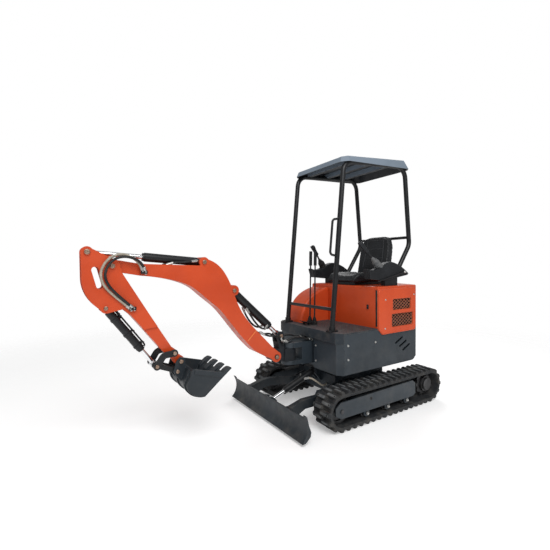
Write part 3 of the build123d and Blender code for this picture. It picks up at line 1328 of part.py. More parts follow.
with BuildPart() as arm_barrel:
    make_barrel(ARM_CYL_BOOM, ARM_CYL_ARM, ARM_CYL, SMALL_PIN_RADIUS + 4, EYE_HALF)

with BuildPart() as arm_rod:
    make_rod(ARM_CYL_BOOM, ARM_CYL_ARM, ARM_CYL, SMALL_PIN_RADIUS + 4, EYE_HALF)

# Bucket cylinder, rocker and link
BUCKET_EYE_HALF = ARM_PLATE_IN - 3.0

with BuildPart() as bucket_barrel:
    make_barrel(BUCKET_CYL_ARM, ROCKER_END, BUCKET_CYL, SMALL_PIN_RADIUS, BUCKET_EYE_HALF)

with BuildPart() as bucket_rod:
    make_rod(BUCKET_CYL_ARM, ROCKER_END, BUCKET_CYL, SMALL_PIN_RADIUS, BUCKET_EYE_HALF)

with BuildPart() as rocker:
    for y0, y1 in ((ROCKER_IN, ROCKER_OUT), (-ROCKER_OUT, -ROCKER_IN)):
        with BuildSketch(side(y1)) as rocker_side:
            with BuildLine():
                FilletPolyline(ROCKER_PIN, (1822, 700), ROCKER_END, radius=40)
            trace(line_width=46)
            with Locations(ROCKER_PIN, ROCKER_END):
                Circle(26)
        extrude(rocker_side.sketch, amount=y1 - y0)
        shaft(ROCKER_END, SMALL_PIN_RADIUS, *((LINK_IN, y1) if y0 > 0 else (y0, -LINK_IN)))
    shaft(ROCKER_PIN, SMALL_PIN_RADIUS, -ROCKER_OUT - 8, ROCKER_OUT + 8)

LINK_MIDDLE = point_on(ROCKER_END, LINK_PIN, math.dist(ROCKER_END, LINK_PIN) / 2)

with BuildPart() as bucket_link:
    for y0, y1 in ((LINK_IN, LINK_OUT), (-LINK_OUT, -LINK_IN)):
        with BuildSketch(side(y1)) as link_side:
            with BuildLine():
                Line(ROCKER_END, LINK_PIN)
            trace(line_width=36)
            with Locations(ROCKER_END, LINK_PIN):
                Circle(24)
                Circle(SMALL_PIN_RADIUS + RUN, mode=Mode.SUBTRACT)
        extrude(link_side.sketch, amount=y1 - y0)
    shaft(LINK_MIDDLE, 11, -LINK_IN, LINK_IN)

# Bucket: curled shell with side plates, back ribs, ears, pin and teeth
BUCKET_HEAD = (1648.0, 604.0)
BUCKET_NAPE = (1664.0, 590.0)
BUCKET_MOUTH = (BUCKET_LIP[0] + 11.0, BUCKET_LIP[1] + 13.0)
RIB_Y = (-165.0, 0.0, 165.0)
RIB_WIDTH = 26.0
CHEEK_STRIP = 8.0
BUCKET_CORE = (1560.0, 540.0)


def back_line(out):
    """Curve of the bucket's back, moved outwards by this much."""
    points = []
    for x, z in (BUCKET_NAPE, *BUCKET_BACK, BUCKET_HEEL):
        away = Vector(x - BUCKET_CORE[0], z - BUCKET_CORE[1]).normalized() * out
        points.append((x + away.X, z + away.Y))
    return points


with BuildPart() as bucket:
    with BuildSketch(side(BUCKET_HALF)) as bucket_side:
        with BuildLine():
            Line(BUCKET_HEAD, BUCKET_NAPE)
            Spline(*back_line(0.0))
            Polyline(BUCKET_HEEL, BUCKET_LIP, BUCKET_MOUTH, BUCKET_HEAD)
        make_face()
    extrude(bucket_side.sketch, amount=2 * BUCKET_HALF)
    for rib_y in RIB_Y:
        with BuildSketch(side(rib_y + RIB_WIDTH / 2)) as rib:
            with BuildLine():
                Spline(*back_line(BUCKET_RIB))
                Polyline(back_line(BUCKET_RIB)[-1], BUCKET_CORE, back_line(BUCKET_RIB)[0])
            make_face()
        extrude(rib.sketch, amount=RIB_WIDTH)
    with BuildSketch(side(BUCKET_HALF - BUCKET_PLATE)) as bucket_hollow:
        with BuildLine():
            hollow = back_line(-BUCKET_PLATE)
            Spline(*hollow)
            Polyline(
                hollow[-1],
                (BUCKET_LIP[0] + 8, BUCKET_LIP[1] + 9),
                (BUCKET_LIP[0], BUCKET_LIP[1] + 73),
                (BUCKET_HEAD[0] - 8, BUCKET_HEAD[1] + 36),
                hollow[0],
            )
        make_face()
    extrude(bucket_hollow.sketch, amount=2 * (BUCKET_HALF - BUCKET_PLATE), mode=Mode.SUBTRACT)
    for y0 in (BUCKET_HALF, -BUCKET_HALF - CHEEK_STRIP):
        slab(
            [
                BUCKET_MOUTH,
                (BUCKET_HEAD[0] - 8, BUCKET_HEAD[1] - 2),
                (BUCKET_HEAD[0] - 8, BUCKET_HEAD[1] - 36),
                (BUCKET_LIP[0] + 34, BUCKET_LIP[1] - 16),
            ],
            y0,
            y0 + CHEEK_STRIP,
        )
    for y0, y1 in ((EAR_IN, EAR_OUT), (-EAR_OUT, -EAR_IN)):
        slab(
            [
                (BUCKET_HEAD[0] + 8, BUCKET_HEAD[1] - 4),
                (BUCKET_HEAD[0] + 20, BUCKET_HEAD[1] + 56),
                (BUCKET_PIN[0] + 4, BUCKET_PIN[1] + 32),
                (BUCKET_PIN[0] + 31, BUCKET_PIN[1] + 8),
                (LINK_PIN[0] + 30, LINK_PIN[1] + 4),
                (LINK_PIN[0] + 14, LINK_PIN[1] - 28),
                BUCKET_BACK[1],
                (BUCKET_BACK[1][0] - BUCKET_PLATE, BUCKET_BACK[1][1]),
                (BUCKET_BACK[0][0] - BUCKET_PLATE / 2, BUCKET_BACK[0][1]),
                (BUCKET_NAPE[0] - BUCKET_PLATE / 2, BUCKET_NAPE[1]),
            ],
            y0,
            y1,
        )
    shaft(BUCKET_PIN, PIN_RADIUS - 4, -EAR_OUT - 10, EAR_OUT + 10)
    twin_shaft(LINK_PIN, SMALL_PIN_RADIUS, EAR_IN, EAR_OUT + 8)
    for tooth_y in TOOTH_Y:
        slab(
            [
                (BUCKET_LIP[0] + 70, BUCKET_LIP[1] - 57),
                (BUCKET_LIP[0] + 58, BUCKET_LIP[1] - 12),
                (BUCKET_LIP[0] + 2, BUCKET_LIP[1] + 34),
                (BUCKET_LIP[0] - 24, BUCKET_LIP[1] + 46),
                TOOTH_TIP,
                (TOOTH_TIP[0] - 3, TOOTH_TIP[1] - 6),
                (BUCKET_LIP[0] - 8, BUCKET_LIP[1] + 4),
            ],
            tooth_y - TOOTH_HALF,
            tooth_y + TOOTH_HALF,
        )

# Hand over the pieces
os.makedirs("parts", exist_ok=True)
PIECES = {
    "track_left": track_left,
    "track_right": track_right,
    "track_frame_left": track_frame_left,
    "track_frame_right": track_frame_right,
    "sprocket_left": sprocket_left,
    "sprocket_right": sprocket_right,
    "idler_left": idler_left,
    "idler_right": idler_right,
    "rollers_left": rollers_left,
    "rollers_right": rollers_right,
    "centre_frame": centre_frame,
    "slew_ring": slew_ring,
    "blade": blade,
    "blade_barrel": blade_barrel,
    "blade_rod": blade_rod,
    "upper_frame": upper_frame,
    "skirt_left": skirt_left,
    "skirt_right": skirt_right,
    "skirt_front": skirt_front,
    "counterweight": counterweight,
    "deck": deck,
    "engine_cover": engine_cover,
    "side_vents": side_vents,
    "engine": engine,
    "rear_bonnet": rear_bonnet,
    "tank_cover": tank_cover,
    "seat_pan": seat_pan,
    "seat_cushion": seat_cushion,
    "seat_back": seat_back,
    "consoles": consoles,
    "control_levers": control_levers,
    "canopy_posts_front": canopy_posts_front,
    "canopy_posts_rear": canopy_posts_rear,
    "canopy_bars": canopy_bars,
    "canopy_roof": canopy_roof,
    "grab_handle": grab_handle,
    "swing_post": swing_post,
    "boom": boom,
    "boom_barrel": boom_barrel,
    "boom_rod": boom_rod,
    "arm": arm,
    "arm_barrel": arm_barrel,
    "arm_rod": arm_rod,
    "bucket_barrel": bucket_barrel,
    "bucket_rod": bucket_rod,
    "rocker": rocker,
    "bucket_link": bucket_link,
    "bucket": bucket,
}
for piece_name, piece in PIECES.items():
    piece.part.label = piece_name
    export_step(piece.part, f"parts/{piece_name}.step")
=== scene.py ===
"""Looks of the mini excavator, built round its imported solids.

Metres in the row frame. at() takes millimetres measured from the slew axis, as the machine is drawn.
"""
import math

import bmesh
import bpy
from mathutils import Matrix, Vector
from mathutils.bvhtree import BVHTree


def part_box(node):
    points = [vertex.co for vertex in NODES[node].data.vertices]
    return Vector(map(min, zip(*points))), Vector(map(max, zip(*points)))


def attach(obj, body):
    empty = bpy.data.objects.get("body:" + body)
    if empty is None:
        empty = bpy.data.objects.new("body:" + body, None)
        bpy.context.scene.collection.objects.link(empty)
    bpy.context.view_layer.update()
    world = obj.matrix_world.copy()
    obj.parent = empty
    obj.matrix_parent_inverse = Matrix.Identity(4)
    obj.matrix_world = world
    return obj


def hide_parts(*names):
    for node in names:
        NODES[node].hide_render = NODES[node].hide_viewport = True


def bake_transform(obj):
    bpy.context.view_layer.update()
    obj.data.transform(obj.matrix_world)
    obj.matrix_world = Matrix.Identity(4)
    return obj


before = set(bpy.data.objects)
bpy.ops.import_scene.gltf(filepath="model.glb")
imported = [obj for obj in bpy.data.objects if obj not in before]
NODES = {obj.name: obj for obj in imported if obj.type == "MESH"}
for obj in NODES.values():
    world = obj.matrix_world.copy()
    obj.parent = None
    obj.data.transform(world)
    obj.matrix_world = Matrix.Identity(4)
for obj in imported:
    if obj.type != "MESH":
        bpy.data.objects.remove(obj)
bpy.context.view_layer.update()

# Places taken from the frame
RING_LOW, RING_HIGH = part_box("slew_ring")
SLEW_X = (RING_LOW.x + RING_HIGH.x) / 2
MM = 0.001


def at(x, y, z):
    """Row-frame point from millimetres measured at the slew axis."""
    return Vector((SLEW_X + x * MM, y * MM, z * MM))


# Mesh helpers
def basis(direction):
    """Unit vector along a direction and two square to it."""
    w = direction.normalized()
    helper = Vector((0, 1, 0)) if abs(w.y) < 0.9 else Vector((0, 0, 1))
    u = helper.cross(w).normalized()
    return w, u, w.cross(u)


def ring(bm, centre, u, v, radius, segments):
    """Circle of vertices."""
    turns = [2 * math.pi * i / segments for i in range(segments)]
    return [bm.verts.new(centre + (u * math.cos(a) + v * math.sin(a)) * radius) for a in turns]


def bridge(bm, first, second):
    """Faces between two rings of equal length."""
    count = len(first)
    for i in range(count):
        j = (i + 1) % count
        bm.faces.new((first[i], first[j], second[j], second[i]))


def lathe(bm, start, direction, profile, segments=20):
    """Turned solid: profile holds (distance along, radius) pairs."""
    w, u, v = basis(direction)
    rings = [ring(bm, start + w * s, u, v, radius, segments) for s, radius in profile]
    for first, second in zip(rings, rings[1:]):
        bridge(bm, first, second)
    bm.faces.new(rings[0])
    bm.faces.new(rings[-1])


def collar(bm, start, direction, profile, segments=36):
    """Turned ring, open in the middle: the profile closes on itself."""
    w, u, v = basis(direction)
    rings = [ring(bm, start + w * s, u, v, radius, segments) for s, radius in profile]
    for first, second in zip(rings, rings[1:] + rings[:1]):
        bridge(bm, first, second)


def tube(bm, path, radius, segments=12):
    """Round tube along a smooth path, closed at both ends."""
    w, u, v = basis(path[1] - path[0])
    rings = []
    for index, point in enumerate(path):
        ahead = path[min(index + 1, len(path) - 1)] - path[max(index - 1, 0)]
        ahead.normalize()
        u = (u - ahead * u.dot(ahead)).normalized()
        v = ahead.cross(u)
        rings.append(ring(bm, point, u, v, radius, segments))
    for first, second in zip(rings, rings[1:]):
        bridge(bm, first, second)
    bm.faces.new(rings[0])
    bm.faces.new(rings[-1])


def block(bm, low, high, bevel=0.0, segments=2):
    """Box between two corners with rounded edges."""
    low, high = Vector(low), Vector(high)
    made = bmesh.ops.create_cube(bm, size=1.0, matrix=Matrix.Translation((low + high) / 2)
                                 @ Matrix.Diagonal((*(high - low), 1.0)))
    if bevel:
        edges = list({e for vert in made["verts"] for e in vert.link_edges})
        bmesh.ops.bevel(bm, geom=edges, offset=bevel, segments=segments, profile=0.5, affect="EDGES")


def prism(bm, outline, y0, y1, bevel=0.0):
    """Side-view outline in slew-axis millimetres, from y0 to y1."""
    near = [bm.verts.new(at(x, y0, z)) for x, z in outline]
    far = [bm.verts.new(at(x, y1, z)) for x, z in outline]
    bridge(bm, near, far)
    bm.faces.new(near)
    bm.faces.new(far)
    if bevel:
        edges = list({e for vert in near + far for e in vert.link_edges})
        bmesh.ops.bevel(bm, geom=edges, offset=bevel, segments=2, profile=0.5, affect="EDGES")


def bolt(bm, point, direction, size):
    """Hexagon bolt head on a washer; size is the head's radius."""
    w = direction.normalized()
    lathe(bm, point, w, [(-0.002, size * 1.3), (size * 0.18, size * 1.3), (size * 0.3, size * 1.15)], 16)
    lathe(bm, point + w * size * 0.3, w, [(0, size), (size * 0.6, size), (size * 0.75, size * 0.82)], 6)


def piece(name, bm, material, body, sharp=35.0):
    """Finished mesh object with its finish, riding on a body."""
    bmesh.ops.recalc_face_normals(bm, faces=bm.faces)
    limit = math.radians(sharp)
    for face in bm.faces:
        face.smooth = True
    for edge in bm.edges:
        edge.smooth = edge.is_manifold and edge.calc_face_angle(0.0) < limit
    mesh = bpy.data.meshes.new(name)
    bm.to_mesh(mesh)
    bm.free()
    obj = bpy.data.objects.new(name, mesh)
    bpy.context.scene.collection.objects.link(obj)
    obj.data.materials.append(material)
    if body:
        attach(obj, body)
    return obj


def smooth_path(points, resolution=10):
    """Points along the smooth line that a route's own points control."""
    curve = bpy.data.curves.new("route", "CURVE")
    curve.dimensions = "3D"
    spline = curve.splines.new("NURBS")
    spline.points.add(len(points) - 1)
    for spot, point in zip(spline.points, points):
        spot.co = (*point, 1.0)
    spline.order_u = 3
    spline.use_endpoint_u = True
    spline.resolution_u = resolution
    obj = bpy.data.objects.new("route", curve)
    mesh = bpy.data.meshes.new_from_object(obj)
    path = [vert.co.copy() for vert in mesh.vertices]
    bpy.data.objects.remove(obj)
    bpy.data.curves.remove(curve)
    bpy.data.meshes.remove(mesh)
    return path


def surface_of(mesh):
    """Tree for casting rays onto a mesh."""
    return BVHTree.FromPolygons([v.co for v in mesh.vertices], [p.vertices for p in mesh.polygons])


# Finishes
class Recipe:
    """A procedural material under construction."""

    def __init__(self, name):
        self.material = bpy.data.materials.new(name)
        self.material.use_nodes = True
        self.nodes = self.material.node_tree.nodes
        self.links = self.material.node_tree.links
        self.shader = self.nodes["Principled BSDF"]
        self.place = self.nodes.new("ShaderNodeTexCoord").outputs["Object"]

    def put(self, target, value):
        if hasattr(value, "is_linked"):
            self.links.new(value, target)
        else:
            target.default_value = value

    def set(self, **sockets):
        for name, value in sockets.items():
            self.put(self.shader.inputs[name.replace("_", " ")], value)

    def noise(self, scale, detail=4.0, roughness=0.55, stretch=None):
        node = self.nodes.new("ShaderNodeTexNoise")
        vector = self.place
        if stretch:
            mapping = self.nodes.new("ShaderNodeMapping")
            mapping.inputs["Scale"].default_value = stretch
            self.links.new(vector, mapping.inputs["Vector"])
            vector = mapping.outputs["Vector"]
        self.links.new(vector, node.inputs["Vector"])
        node.inputs["Scale"].default_value = scale
        node.inputs["Detail"].default_value = detail
        node.inputs["Roughness"].default_value = roughness
        return node.outputs["Fac"]

    def cells(self, scale, feature="F1"):
        node = self.nodes.new("ShaderNodeTexVoronoi")
        node.feature = feature
        self.links.new(self.place, node.inputs["Vector"])
        node.inputs["Scale"].default_value = scale
        return node.outputs["Distance"]

    def span(self, value, low, high, out_low=0.0, out_high=1.0):
        node = self.nodes.new("ShaderNodeMapRange")
        node.interpolation_type = "SMOOTHSTEP"
        self.put(node.inputs["Value"], value)
        for key, number in zip(("From Min", "From Max", "To Min", "To Max"), (low, high, out_low, out_high)):
            node.inputs[key].default_value = number
        return node.outputs["Result"]

    def math(self, operation, first, second=0.0):
        node = self.nodes.new("ShaderNodeMath")
        node.operation = operation
        self.put(node.inputs[0], first)
        self.put(node.inputs[1], second)
        return node.outputs["Value"]

    def mix(self, factor, first, second):
        node = self.nodes.new("ShaderNodeMix")
        node.data_type = "RGBA"
        self.put(node.inputs["Factor"], factor)
        self.put(node.inputs[6], first)
        self.put(node.inputs[7], second)
        return node.outputs[2]

    def height(self):
        node = self.nodes.new("ShaderNodeSeparateXYZ")
        self.links.new(self.place, node.inputs["Vector"])
        return node.outputs["Z"]

    def facing_up(self):
        geometry = self.nodes.new("ShaderNodeNewGeometry")
        node = self.nodes.new("ShaderNodeSeparateXYZ")
        self.links.new(geometry.outputs["Normal"], node.inputs["Vector"])
        return node.outputs["Z"]

    def soft_edge(self, radius):
        node = self.nodes.new("ShaderNodeBevel")
        node.samples = 4
        node.inputs["Radius"].default_value = radius
        return node.outputs["Normal"]

    def edge(self, radius):
        """1 on edges, 0 on flats; the finishes lighten edges with it, partly as rubbed wear and partly as
        painted highlight.
        """
        geometry = self.nodes.new("ShaderNodeNewGeometry")
        node = self.nodes.new("ShaderNodeVectorMath")
        node.operation = "DOT_PRODUCT"
        self.links.new(self.soft_edge(radius), node.inputs[0])
        self.links.new(geometry.outputs["Normal"], node.inputs[1])
        return self.span(node.outputs["Value"], 0.97, 0.8)

    def bump(self, height, strength, distance=0.001, normal=None):
        node = self.nodes.new("ShaderNodeBump")
        node.inputs["Strength"].default_value = strength
        node.inputs["Distance"].default_value = distance
        self.links.new(height, node.inputs["Height"])
        if normal:
            self.links.new(normal, node.inputs["Normal"])
        self.links.new(node.outputs["Normal"], self.shader.inputs["Normal"])


def colour(r, g, b):
    """Opaque linear colour."""
    return (r, g, b, 1.0)


DUST = colour(0.24, 0.215, 0.18)


def painted(name, tone, deep, worn, roughness, coat, dust, peel=0.06, under=None, rounding=0.003):
    """Sprayed paint: slow tone drift, lighter edges that are partly rubbed paint and partly painted highlight,
    dust low down and on flats, fine orange peel; a given under colour is painted shade on faces that look
    down.
    """
    r = Recipe(name)
    drift = r.span(r.noise(2.3, 5.0), 0.35, 0.7)
    base = r.mix(drift, tone, deep)
    # Painted shade: faces that look down take the under colour.
    if under:
        base = r.mix(r.span(r.facing_up(), -0.2, 0.02), under, base)
    # Lighter edges: partly rubbed paint, partly painted highlight.
    lighter_edges = r.math("MULTIPLY", r.edge(0.004), r.span(r.noise(22.0, 6.0), 0.42, 0.66))
    base = r.mix(r.math("MULTIPLY", lighter_edges, 0.55), base, worn)
    low = r.span(r.height(), 1.0, 0.05, 0.12, 1.0)
    film = r.span(r.noise(6.5, 8.0, 0.65), 0.44, 0.78)
    flat = r.span(r.facing_up(), 0.2, 0.95, 0.35, 1.0)
    amount = r.math("MULTIPLY", r.math("MULTIPLY", low, film), r.math("MULTIPLY", flat, dust))
    base = r.mix(amount, base, DUST)
    grain = r.noise(210.0, 2.0)
    patches = r.noise(14.0, 5.0)
    r.set(Base_Color=base, Roughness=r.span(patches, 0.3, 0.75, roughness - 0.07, roughness + 0.12))
    r.set(Coat_Weight=coat, Coat_Roughness=0.2, Specular_IOR_Level=0.35)
    r.bump(grain, peel, 0.0006, r.soft_edge(rounding))
    return r.material


def metal(name, tone, deep, roughness, brushed=None):
    """Bare metal with drawn marks and stains."""
    r = Recipe(name)
    marks = r.noise(80.0, 6.0, 0.6, brushed)
    base = r.mix(r.span(r.noise(9.0, 6.0), 0.35, 0.72), tone, deep)
    r.set(Base_Color=base, Metallic=1.0)
    r.set(Roughness=r.span(marks, 0.25, 0.8, roughness * 0.75, roughness * 1.35))
    r.bump(marks, 0.08, 0.0004, r.soft_edge(0.0015))
    return r.material


def rubber(name, tone, pale, roughness, dust, grain=120.0, flank=None):
    """Matt rubber greyed by dry dust on its outer faces; flank is the tone of upright faces."""
    r = Recipe(name)
    film = r.span(r.noise(11.0, 8.0, 0.65), 0.42, 0.74)
    base = r.mix(r.span(r.noise(34.0, 4.0), 0.3, 0.75), tone, pale)
    if flank:
        base = r.mix(r.span(r.facing_up(), 0.4, 0.9), flank, base)
    amount = r.math("MULTIPLY", film, dust)
    lighter_edges = r.math("MULTIPLY", r.edge(0.005), 0.35)
    base = r.mix(r.math("MAXIMUM", amount, lighter_edges), base, DUST)
    r.set(Base_Color=base, Roughness=r.span(film, 0.0, 1.0, roughness, roughness + 0.12))
    r.set(Specular_IOR_Level=0.3)
    r.bump(r.noise(grain, 5.0), 0.22, 0.0012, r.soft_edge(0.004))
    return r.material


def moulded(name, tone, pale, roughness, grain):
    """Textured moulding: fine leather grain and a painted sheen that lightens the colour along edges."""
    r = Recipe(name)
    base = r.mix(r.span(r.noise(7.0, 5.0), 0.35, 0.75), tone, pale)
    # Painted sheen: edges mixed towards a lighter grey.
    base = r.mix(r.math("MULTIPLY", r.edge(0.004), 0.25), base, colour(0.12, 0.12, 0.125))
    r.set(Base_Color=base, Roughness=r.span(r.noise(18.0, 4.0), 0.3, 0.7, roughness - 0.06, roughness + 0.08))
    r.set(Specular_IOR_Level=0.3)
    r.bump(r.cells(grain), 0.2, 0.0006, r.soft_edge(0.003))
    return r.material


def vinyl(name, tone, pale):
    """Seat cover: leather-like grain over slow creases."""
    r = Recipe(name)
    base = r.mix(r.span(r.noise(5.0, 6.0), 0.4, 0.72), tone, pale)
    grain = r.math("ADD", r.cells(420.0), r.math("MULTIPLY", r.noise(16.0, 3.0), 1.6))
    r.set(Base_Color=base, Roughness=r.span(r.noise(24.0, 4.0), 0.3, 0.7, 0.42, 0.6), Specular_IOR_Level=0.35)
    r.bump(grain, 0.28, 0.0012)
    return r.material


ORANGE = painted("orange_paint", colour(0.60, 0.068, 0.014), colour(0.52, 0.054, 0.010),
                 colour(0.74, 0.19, 0.09), 0.38, 0.12, 0.3)
HOOD_ORANGE = painted("orange_hood", colour(0.62, 0.072, 0.014), colour(0.54, 0.056, 0.010),
                      colour(0.8, 0.26, 0.14), 0.38, 0.15, 0.3, 0.06, None, 0.009)
WELD_ORANGE = painted("orange_weld", colour(0.78, 0.2, 0.05), colour(0.7, 0.15, 0.04),
                      colour(0.85, 0.35, 0.15), 0.45, 0.05, 0.2)
VENT_STEEL = painted("vent_steel", colour(0.34, 0.1, 0.045), colour(0.2, 0.07, 0.04),
                     colour(0.5, 0.26, 0.16), 0.5, 0.0, 0.3)
MOULDED_ORANGE = painted("orange_moulding", colour(0.64, 0.078, 0.018), colour(0.56, 0.06, 0.012),
                         colour(0.76, 0.2, 0.1), 0.42, 0.1, 0.3, 0.09)
CHARCOAL = painted("charcoal_paint", colour(0.026, 0.036, 0.046), colour(0.018, 0.025, 0.032),
                   colour(0.11, 0.12, 0.13), 0.46, 0.1, 0.3)
SATIN_BLACK = painted("black_paint", colour(0.007, 0.008, 0.010), colour(0.005, 0.006, 0.007),
                      colour(0.06, 0.062, 0.066), 0.42, 0.08, 0.15)
# Roof paint: its last colour is painted shade for the roof's underside.
ROOF_GREY = painted("roof_paint", colour(0.19, 0.235, 0.29), colour(0.15, 0.19, 0.235),
                    colour(0.36, 0.41, 0.46), 0.5, 0.0, 0.05, 0.03, colour(0.010, 0.012, 0.015))
CAST_BLACK = painted("black_casting", colour(0.014, 0.017, 0.021), colour(0.009, 0.011, 0.014),
                     colour(0.1, 0.1, 0.1), 0.55, 0.0, 0.3, 0.3)
TOOL_STEEL = painted("worn_dark_steel", colour(0.021, 0.028, 0.035), colour(0.014, 0.019, 0.024),
                     colour(0.24, 0.25, 0.26), 0.46, 0.05, 0.35, 0.16)
CHROME = metal("rod_chrome", colour(0.86, 0.87, 0.88), colour(0.72, 0.74, 0.76), 0.14)
PIN_STEEL = metal("pin_steel", colour(0.42, 0.31, 0.24), colour(0.26, 0.17, 0.12), 0.42)
ZINC = metal("zinc_plate", colour(0.6, 0.6, 0.58), colour(0.44, 0.44, 0.42), 0.38)
CAST_STEEL = metal("cast_steel", colour(0.12, 0.12, 0.125), colour(0.07, 0.07, 0.072), 0.55)
IRON = painted("engine_iron", colour(0.1, 0.1, 0.105), colour(0.07, 0.07, 0.072),
               colour(0.2, 0.2, 0.2), 0.6, 0.0, 0.4, 0.25)
TRACK_RUBBER = rubber("track_rubber", colour(0.016, 0.018, 0.021), colour(0.026, 0.028, 0.031), 0.78, 0.2)
LUG_FACE = rubber("track_lug_face", colour(0.075, 0.082, 0.088), colour(0.13, 0.138, 0.145), 0.8, 0.3)
# Painted shade: near-black rubber for the discs that stand in for the lugs' pits.
PIT_SHADE = rubber("track_pit_shade", colour(0.006, 0.006, 0.007), colour(0.01, 0.01, 0.011), 0.85, 0.05)
MAT_RUBBER = rubber("deck_mat", colour(0.042, 0.037, 0.04), colour(0.06, 0.053, 0.056), 0.6, 0.22, 60.0,
                    colour(0.02, 0.027, 0.035))
HOSE = rubber("hose_rubber", colour(0.010, 0.010, 0.011), colour(0.018, 0.018, 0.019), 0.5, 0.1, 260.0)
SLEEVE = rubber("hose_sleeve", colour(0.34, 0.30, 0.24), colour(0.5, 0.45, 0.37), 0.7, 0.2, 320.0)
SEAL = rubber("door_seal", colour(0.008, 0.008, 0.009), colour(0.014, 0.014, 0.015), 0.7, 0.1, 200.0)
PLASTIC = moulded("black_moulding", colour(0.008, 0.009, 0.011), colour(0.015, 0.017, 0.02), 0.5, 520.0)
SEAT_VINYL = vinyl("seat_vinyl", colour(0.008, 0.009, 0.011), colour(0.015, 0.017, 0.02))
SEAM = vinyl("seat_seam", colour(0.04, 0.042, 0.046), colour(0.06, 0.062, 0.066))
GAITER = rubber("pale_gaiter", colour(0.07, 0.075, 0.08), colour(0.13, 0.135, 0.14), 0.55, 0.3, 90.0)

FINISHES = {
    ORANGE: ["boom", "arm"],
    HOOD_ORANGE: ["engine_cover", "rear_bonnet"],
    MOULDED_ORANGE: ["tank_cover"],
    CHARCOAL: ["track_frame_left", "track_frame_right", "centre_frame", "upper_frame", "skirt_left",
               "skirt_right", "skirt_front", "counterweight"],
    TOOL_STEEL: ["blade", "bucket"],
    SATIN_BLACK: ["blade_barrel", "boom_barrel", "arm_barrel", "bucket_barrel", "rocker", "bucket_link",
                  "canopy_posts_front", "canopy_posts_rear", "canopy_bars", "grab_handle", "seat_pan",
                  "side_vents"],
    ROOF_GREY: ["canopy_roof"],
    CAST_BLACK: ["swing_post"],
    CAST_STEEL: ["sprocket_left", "sprocket_right", "idler_left", "idler_right", "rollers_left",
                 "rollers_right", "slew_ring"],
    CHROME: ["blade_rod", "boom_rod", "arm_rod", "bucket_rod"],
    TRACK_RUBBER: ["track_left", "track_right"],
    MAT_RUBBER: ["deck"],
    IRON: ["engine"],
    SEAT_VINYL: ["seat_cushion", "seat_back"],
    PLASTIC: ["consoles", "control_levers"],
}
for finish, names in FINISHES.items():
    for node_name in names:
        mesh_data = NODES[node_name].data
        mesh_data.materials.clear()
        mesh_data.materials.append(finish)

# Rubber belts with rounded lugs, in place of the solids' squarer ones
TRACK_LOW, TRACK_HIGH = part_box("track_left")
WHEEL_Z = (TRACK_HIGH.z + TRACK_LOW.z) / 2
LUG_HEIGHT = 0.021
BELT_THICKNESS = 0.024
BELT_RADIUS = WHEEL_Z - LUG_HEIGHT
IDLER_X = TRACK_HIGH.x - WHEEL_Z
SPROCKET_X = TRACK_LOW.x + WHEEL_Z
RUN = IDLER_X - SPROCKET_X
LOOP = 2 * RUN + 2 * math.pi * BELT_RADIUS
LUG_COUNT = 44


def belt_point(s, y, h):
    """Point at distance s round the belt, across at y, h above its outer face."""
    s = s % LOOP
    arc = math.pi * BELT_RADIUS
    radius = BELT_RADIUS + h
    if s < RUN:
        return Vector((SPROCKET_X + s, y, WHEEL_Z - radius))
    if s < RUN + arc:
        turn = (s - RUN) / BELT_RADIUS - math.pi / 2
        return Vector((IDLER_X + radius * math.cos(turn), y, WHEEL_Z + radius * math.sin(turn)))
    if s < 2 * RUN + arc:
        return Vector((IDLER_X - (s - RUN - arc), y, WHEEL_Z + radius))
    turn = (s - 2 * RUN - arc) / BELT_RADIUS + math.pi / 2
    return Vector((SPROCKET_X + radius * math.cos(turn), y, WHEEL_Z + radius * math.sin(turn)))


def lug(bm, s, y0, y1, faces_up):
    """One lug: a rounded bar with sloping sides and a softened top edge."""
    layers = [(-0.003, 0.021, 0.0), (0.006, 0.0185, 0.001), (LUG_HEIGHT - 0.004, 0.0145, 0.004),
              (LUG_HEIGHT - 0.001, 0.012, 0.0075), (LUG_HEIGHT - 0.0003, 0.0095, 0.011)]
    rings = []
    for h, half, inset in layers:
        a, b = y0 + inset, y1 - inset
        cut = 0.006
        spots = [(-half, a + cut), (-half + cut, a), (half - cut, a), (half, a + cut),
                 (half, b - cut), (half - cut, b), (-half + cut, b), (-half, b - cut)]
        rings.append([bm.verts.new(belt_point(s + ds, y, h)) for ds, y in spots])
    for first, second in zip(rings, rings[1:]):
        bridge(bm, first, second)
    faces_up.append(bm.faces.new(rings[-1]))
    bm.faces.new(rings[0])


def rubber_track(hand, node):
    """Belt with two staggered rows of lugs and a stiffened rim."""
    bm = bmesh.new()
    outer = TRACK_HIGH.y
    inner = TRACK_LOW.y
    middle = (outer + inner) / 2
    section = [(inner + 0.004, 0.0), (inner, -0.004), (inner, -BELT_THICKNESS + 0.004),
               (inner + 0.004, -BELT_THICKNESS), (outer - 0.004, -BELT_THICKNESS),
               (outer, -BELT_THICKNESS + 0.004), (outer, -0.004), (outer - 0.004, 0.0),
               (outer - 0.03, 0.0), (outer - 0.036, -0.003), (inner + 0.036, -0.003), (inner + 0.03, 0.0)]
    steps = LUG_COUNT * 5
    rings = [[bm.verts.new(belt_point(LOOP * i / steps, y, h)) for y, h in section] for i in range(steps)]
    for i in range(steps):
        bridge(bm, rings[i], rings[(i + 1) % steps])
    tops = []
    pitch = LOOP / LUG_COUNT
    for i in range(LUG_COUNT):
        lug(bm, i * pitch, middle - 0.014, outer - 0.001, tops)
        lug(bm, (i + 0.5) * pitch, inner + 0.001, middle + 0.014, tops)
    for face in tops:
        face.material_index = 1
    if hand < 0:
        bmesh.ops.scale(bm, vec=(1, -1, 1), verts=bm.verts)
    obj = piece(f"rubber_{node}", bm, TRACK_RUBBER, "undercarriage", 30.0)
    obj.data.materials.append(LUG_FACE)
    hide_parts(node)


rubber_track(1, "track_left")
rubber_track(-1, "track_right")


